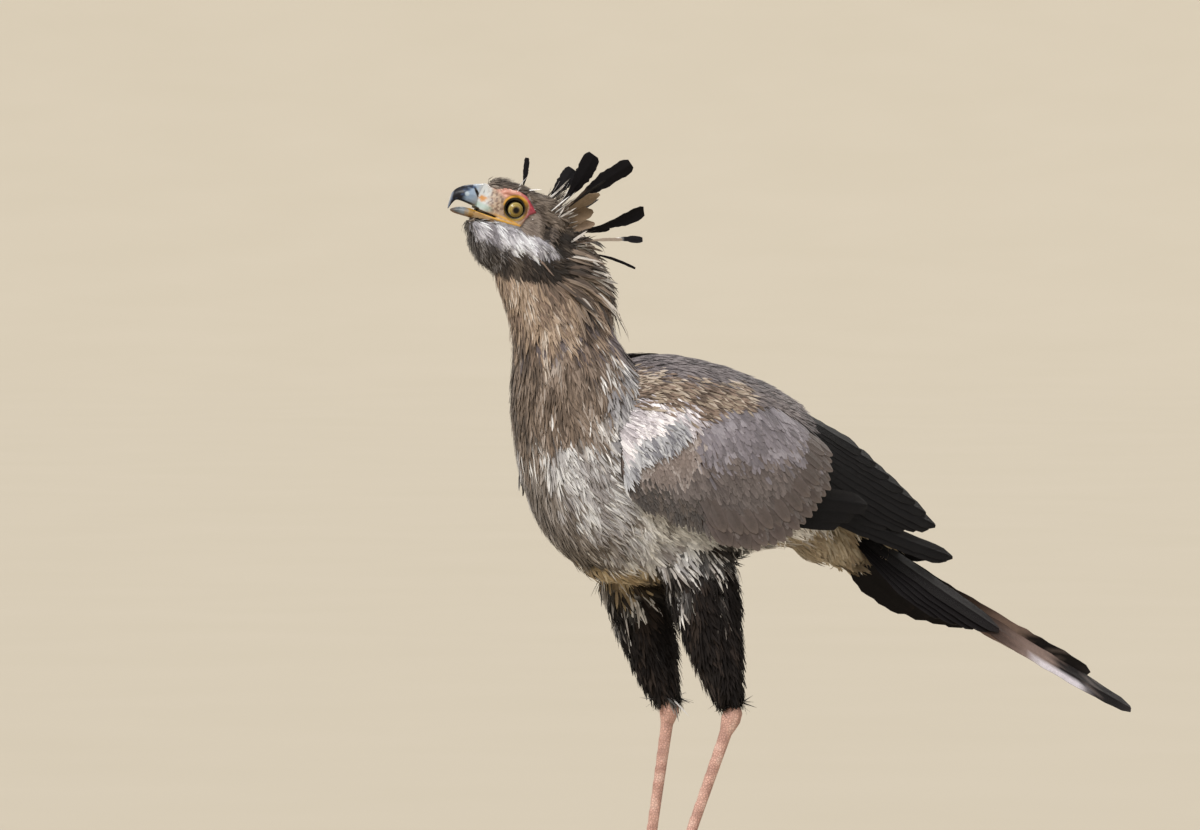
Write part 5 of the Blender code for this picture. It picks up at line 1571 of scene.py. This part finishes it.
# %% [markdown]
# The face's colours are layers over a base, each a hex colour with its cover at every point.
# They run from near-white lores, freckled with orange, to a yellow ring round the eye and a brow
# that turns from pink to crimson behind.

# %% Colours of the face
# the open mouth's upper and lower line, as forward and up of the head; mm
UPPER_EDGE = np.array([(-9.3, -19.3), (0.5, -16.4), (25, -14), (46.5, -11.2), (62, -9.4), (75, -9.6)])
LOWER_EDGE = np.array([(-9.3, -19.3), (9.1, -18.1), (21.6, -17.4), (39.3, -15.6), (52.5, -14.4),
                       (62.9, -16.2), (75, -20)])


def layered(base, layers):
    """Colours laid over a base: each layer is a hex colour and its cover at each point."""
    out = np.broadcast_to(rgb(base), (len(layers[0][1]), 3)).copy()
    for colour, cover in layers:
        out = blend(out, rgb(colour), np.clip(cover, 0, 1)[:, None])
    return out


def face_tint(points):
    at = drawn_of(points)
    f, u, out = head_local(at).T
    out = np.abs(out)
    r = np.hypot(f, u)
    angle = np.degrees(np.arctan2(u, -f))  # 0 behind the eye, 90 above it
    upper, lower = np.interp(f, *UPPER_EDGE.T), np.interp(f, *LOWER_EDGE.T)
    brow = smooth(16.5, 18.5, r) * smooth(-22, -8, angle) * smooth(158, 140, angle)
    crimson = smooth(112, 40, angle)
    freckles = smooth(0.05, 0.5, ripple(at, 3.4, 81)) * 0.7
    ring = 14.8 + 2.4 * smooth(-15, 60, angle) * smooth(215, 150, angle)
    mouth = (u < upper + 0.4) & (u > lower - 0.2) & (f > -9) & (out < 24)
    return layered("#957c67", [
        ("#b4b6b5", smooth(28, 39, f + 2 * ripple(at, 8.0, 85))),
        ("#b7a590", smooth(0.1, 0.7, ripple(at, 5.0, 82)) * 0.6 * smooth(42, 30, f)),
        ("#543a2c", freckles * smooth(-16, -8, u) * smooth(17, 11, u) * smooth(40, 31, f)),
        ("#86a398", smooth(5, 1.5, np.abs(u - upper - 3.5)) * smooth(24, 34, f) * 0.6),
        ("#b57a34", smooth(6.5, 2.0, np.hypot(f - 41.5, (u - 1.0) * 1.2) + ripple(at, 4.0, 86))),
        ("#7d5f45", smooth(0, -16, f) * smooth(-4, -12, u) * 0.75),
        ("#97764a", smooth(0.6, -0.6, u - lower) * smooth(-10, 4, f)),
        ("#bd8272", brow), ("#d3a898", brow * smooth(0.2, 0.6, ripple(at, 6.0, 83)) * 0.7),
        ("#a92c40", brow * crimson),
        ("#c9686c", brow * crimson * smooth(0.3, 0.8, ripple(at, 4.0, 84)) * 0.5),
        ("#7d3038", smooth(-12, -16, f) * smooth(8, 2, u) * 0.8),
        ("#a67c34", smooth(ring + 0.8, ring - 0.6, r)),
        ("#cc9634", smooth(ring, ring - 1.2, r) * smooth(25, 70, angle) * smooth(190, 150, angle)),
        ("#5d442a", smooth(ring + 0.6, ring - 0.8, r) * smooth(48, 12, np.abs(angle - 4))),
        ("#8f7a3c", smooth(ring, ring - 1.0, r) * smooth(-10, -50, angle)),
        # near-black round the eye: the dark rim inside the lids, with its centre moved forward and up so
        # that it is wider there, as painted shadow of the brow
        ("#17130d", smooth(14.0, 12.8, np.hypot(f - 0.8, u - 0.6))),
        ("#c49332", smooth(1.8, 0.8, np.abs(u - lower + 1.0)) * (f < 60)),
        ("#c08f3e", smooth(2.0, 0.8, np.abs(u - upper - 0.4)) * smooth(30, 12, f)),
        ("#7b6a52", smooth(-20.5, -23, u) * 0.6),
        # painted shade: the open mouth between the bills is painted near-black
        ("#1d190c", mouth.astype(float)),
    ])


paint_points(face.data, face_tint(points_of(face.data)))

# %% [markdown]
# Bare facial skin is soft and slightly moist, with fine wrinkles and pores about a millimetre apart.


# %% Skin and horn materials
def pebbled(name, fixed, grain_mm, depth_mm, cells=False):
    """Painted colour with a relief of pores (noise) or of scales (cells) of a real size."""
    made, tree, shader = new_material(name, fixed)
    if cells:
        coords = add_node(tree, "ShaderNodeTexCoord")
        links = {"Vector": coords.outputs["Object"], "Scale": 1 / (grain_mm * MM)}
        grain = add_node(tree, "ShaderNodeTexVoronoi", {"feature": "DISTANCE_TO_EDGE"}, links)
        height = calc(tree, "MULTIPLY", grain.outputs["Distance"], 6.0, clamp=True)
    else:
        height = grain_of(tree, grain_mm, 3.0)
    tone_paint(tree, shader, calc(tree, "MULTIPLY_ADD", height, 0.3, 0.82))
    emboss(tree, shader, height, depth_mm * MM)
    return made


FACE_SKIN = pebbled("moist_facial_skin", {"Roughness": 0.42, "Specular IOR Level": 0.5}, 1.1, 0.35)
HORN = pebbled("polished_bill_horn", {"Roughness": 0.38, "Specular IOR Level": 0.3}, 2.6, 0.14)
SCALES = pebbled("dry_leg_scales", {"Roughness": 0.5, "Specular IOR Level": 0.4}, 3.2, 0.5, True)
CLAW_HORN = pebbled("black_claw_horn", {"Roughness": 0.3, "Specular IOR Level": 0.5}, 3.0, 0.15)
dress(face, FACE_SKIN, "face")

# %% [markdown]
# The smallest feathers of all fringe the bare skin. They root just inside its outline, in three
# rows, and lie backwards over its rim, so that skin and plumage meet softly.

# %% Fringe of the face
FRINGE_ROWS, FRINGE_STEP, FRINGE_LONG, FRINGE_WIDE = (-0.6, 0.6, 1.9), 0.9, 8.5, 1.7
face_tree = BVHTree.FromObject(face, bpy.context.evaluated_depsgraph_get())
draw = np.random.default_rng(98)
edge_line = FACE_OUTLINE[1:-1]
way_along = length_along(edge_line)
at_edge = np.arange(0, way_along[-1], FRINGE_STEP)
roots, ups = [], []
for side in (1, -1):
    inwards = Vector(head_way(0.0, 0.0, float(-side)))
    for inset in FRINGE_ROWS:
        place = at_edge + draw.uniform(-0.4, 0.4, len(at_edge))
        spot = read_off(place, way_along, edge_line)
        spot = spot - unit(spot) * (inset + draw.uniform(-0.5, 0.5, (len(spot), 1)))
        for f_at, u_at in spot:
            start = Vector(placed(head_drawn(f_at, u_at, 60.0 * side)))
            hit, way, _, _ = face_tree.ray_cast(start, inwards, 0.06)
            if hit is not None:
                roots.append(drawn_of(np.array(hit)))
                ups.append(np.array(way))
roots, ups = np.array(roots), np.array(ups)
lie = lie_at(roots, ups)
long = FRINGE_LONG * draw.uniform(0.6, 1.3, len(roots))
tint = kind_shares(roots + lie * 6.0) @ MEAN_TINTS * draw.uniform(0.7, 1.15, (len(roots), 1))
spec = {"length": long, "width": FRINGE_WIDE * draw.uniform(0.7, 1.3, len(roots)), "rise": 1.4,
        "bend": bends(roots, ups, lie, long), "thick": 0.3,
        "sway": draw.normal(0, 0.7, len(roots))}
# the roots are darkened as painted shade, since little light gets in between the feathers
fringe = coat("face_fringe", roots, ups, lie, spec, (tint * 0.85, tint * 1.05, tint), "tuft")
dress(fringe, NECK_FEATHER, "neck_feathers")

# %% [markdown]
# The bill's two halves are horn over bone. Copies of the solids are melted finely, so that their facets
# round off, and painted: a blue-black hook and ridge with a pale worn edge, a blue-white cere with orange
# stains round the nostril, a small painted highlight on the upper half's side, and a yellow lower half
# that is grey at its tip.

# %% Bill
BILL_VOXEL = 0.7 * MM
NOSTRIL_TOP, NOSTRIL_LOW = np.array((52.5, 10.5)), np.array((46.0, 1.5))
NOSTRIL_HALF, NOSTRIL_DEEP = 1.25, 1.1
upper_bill = melted([copy_of("bill_upper")], "bill_upper_horn", BILL_VOXEL, 6)
at = drawn_of(points_of(upper_bill.data))
f, u, out = head_local(at).T
noise = ripple(at, 7.0, 91)
slit = NOSTRIL_LOW - NOSTRIL_TOP
along = np.clip(((f - NOSTRIL_TOP[0]) * slit[0] + (u - NOSTRIL_TOP[1]) * slit[1]) / (slit @ slit), 0, 1)
from_slit = np.hypot(f - NOSTRIL_TOP[0] - along * slit[0], u - NOSTRIL_TOP[1] - along * slit[1])
nostril = smooth(NOSTRIL_HALF + 0.7, NOSTRIL_HALF - 0.5, from_slit)
carved = points_of(upper_bill.data)
carved -= normals_of(upper_bill.data) * (NOSTRIL_DEEP * MM * nostril)[:, None]
move_points(upper_bill.data, carved)
upper = np.interp(f, *UPPER_EDGE.T)
ridge = smooth(5, 10, u + 0.33 * (f - 60) + 2.5 * noise) * smooth(51, 57, f + 1.5 * noise)
paint_points(upper_bill.data, layered("#798ba1", [
    ("#9ea0a1", smooth(56, 47, f + 2 * noise)),
    ("#8797aa", smooth(45, 50, f) * smooth(62, 55, f) * 0.6),
    ("#a7a6a2", smooth(45, 40, f) * smooth(6, 12, u) * 0.8),
    ("#d8912f", smooth(7.5, 2.0, np.hypot(f - 42.5, (u - 1.5) * 1.2) + 1.6 * noise)),
    ("#799d8f", smooth(5.5, 2.5, u - upper) * smooth(50, 36, f) * 0.8),
    ("#11192e", ridge), ("#3e577f", ridge * smooth(0.25, 0.7, noise) * 0.7),
    ("#121219", smooth(60, 65, f + 1.5 * noise)),
    ("#344665", smooth(60, 65, f) * smooth(0.3, 0.7, ripple(at, 5.0, 93)) * 0.6),
    ("#121014", smooth(3.0, 1.4, u - upper) * smooth(46, 54, f) * smooth(73, 69, f)),
    # painted highlight: a small pale spot on the side of the horn
    ("#a6b3bd", smooth(3.6, 1.6, np.hypot(f - 60.5, u - 1.0))),
    ("#767e8b", smooth(75.5, 78.0, f) * smooth(6, 2, u)),
    ("#efe9dd", smooth(77.8, 79.2, f) * smooth(2, -4, u) * smooth(-23, -16, u) * 0.7),
    ("#120c0a", nostril),
]))
dress(upper_bill, HORN, "bill", "bill_upper")

lower_bill = melted([copy_of("bill_lower")], "bill_lower_horn", BILL_VOXEL, 6)
at = drawn_of(points_of(lower_bill.data))
f, u, out = head_local(at).T
noise = ripple(at, 6.0, 92)
lower = np.interp(f, *LOWER_EDGE.T)
paint_points(lower_bill.data, layered("#9f7d4c", [
    ("#b99a62", smooth(0.2, 0.8, noise) * 0.6),
    ("#cc9a34", smooth(3.2, 1.4, lower - u) * smooth(62, 52, f)),
    ("#798085", smooth(51, 58, f + 1.5 * noise)), ("#50585d", smooth(60, 67, f)),
    ("#3e3e3a", smooth(4.2, 2.6, lower - u) * smooth(3.4, 4.6, lower - u) * smooth(54, 60, f)),
    ("#5f4a3a", smooth(66, 72, f) * 0.6),
    ("#7a4f2c", smooth(-23.6, -25.4, u) * 0.7),
]))
dress(lower_bill, HORN, "bill", "bill_lower")

# %% [markdown]
# The eye is a wet ball with a slightly raised cornea. Its rings are turned round the line of sight, so
# that the pupil, the olive iris and the dark rim are painted as true circles. The line of sight is tipped
# a little back and down, so the dark rim shows wider at the front and top, as painted shadow of the brow.

# %% Eyes
EYE_RADIUS_MM, IRIS_FIBRE_MM = 14.0, 0.8
CORNEA_RISE, CORNEA_HALF = 0.9, 10
# radius in mm and colour, from the pupil outwards
IRIS_STOPS = ((0.0, "#050404"), (2.9, "#080605"), (3.6, "#3b2d1a"), (4.6, "#75633a"),
              (6.2, "#9f8b4c"), (7.6, "#86733c"), (8.6, "#bfae70"), (9.3, "#6a5a30"),
              (9.7, "#0d0a07"), (14.0, "#0d0a07"))
WET, tree, shader = new_material("wet_eye", {"Roughness": 0.25, "Specular IOR Level": 0.1,
                                             "Coat Weight": 0.3, "Coat Roughness": 0.02})
tone_paint(tree, shader, calc(tree, "MULTIPLY_ADD", grain_of(tree, IRIS_FIBRE_MM), 0.5, 0.75))
for side, eye_name in ((1, "eye_left"), (-1, "eye_right")):
    centre = placed(head_drawn(0.0, 0.0, EYE_OUT * side))
    # tipped back and down, so that the dark rim shows wider at the front and top: painted shadow of the
    # brow
    sight = head_way(-0.1, -0.1, float(side))
    eye = ball(EYE_RADIUS_MM, centre, 48, 64, Vector(sight).to_track_quat("Z", "Y").to_euler())
    bpy.ops.object.shade_smooth()
    eye.name = f"{eye_name}_wet"
    points = points_of(eye.data)
    forward = (points - centre) @ sight / MM
    r = np.linalg.norm(points - centre - np.outer(forward * MM, sight), axis=1) / MM
    r = np.where(forward > 0, r, EYE_RADIUS_MM)
    cornea = CORNEA_RISE * MM * np.clip(1 - (r / CORNEA_HALF) ** 2, 0, 1) * (forward > 0)
    move_points(eye.data, points + sight * cornea[:, None])
    paint_points(eye.data, between(IRIS_STOPS, r))
    dress(eye, WET, "eye", eye_name)

# %% [markdown]
# The shanks and toes are bare and scaled, dull pink on a young bird. Copies of the solids keep
# the row of broad scutes down the front, and small scales are cells about 3 mm wide.

# %% Legs and claws
LEG_VOXEL, CLAW_VOXEL = 1.3 * MM, 0.6 * MM
for side_name in ("left", "right"):
    for part in ("tarsus", "foot"):
        node = f"{part}_{side_name}"
        leg = melted([copy_of(node)], f"{node}_scaled", LEG_VOXEL, 3)
        at = drawn_of(points_of(leg.data))
        noise = ripple(at, 18.0, 95)
        paint_points(leg.data, layered("#c39a8c", [
            ("#a67f73", smooth(0.0, 0.8, noise) * 0.7), ("#d8b8aa", smooth(-0.2, -0.9, noise) * 0.5),
            ("#8d6e64", smooth(40, 8, at[:, 2]) * 0.5),
        ]))
        dress(leg, SCALES, "leg_scales", node)
    for i in range(1, 5):
        node = f"claw_{side_name}_{i}"
        claw = melted([copy_of(node)], f"{node}_horn", CLAW_VOXEL, 3)
        noise = ripple(drawn_of(points_of(claw.data)), 6.0, 96)
        paint_points(claw.data, layered("#161314", [("#3a322f", smooth(0.1, 0.9, noise) * 0.6)]))
        dress(claw, CLAW_HORN, "claw", node)

# %% [markdown]
# The dressed bird may stand a little proud of the box of the solids.

bpy.context.view_layer.update()
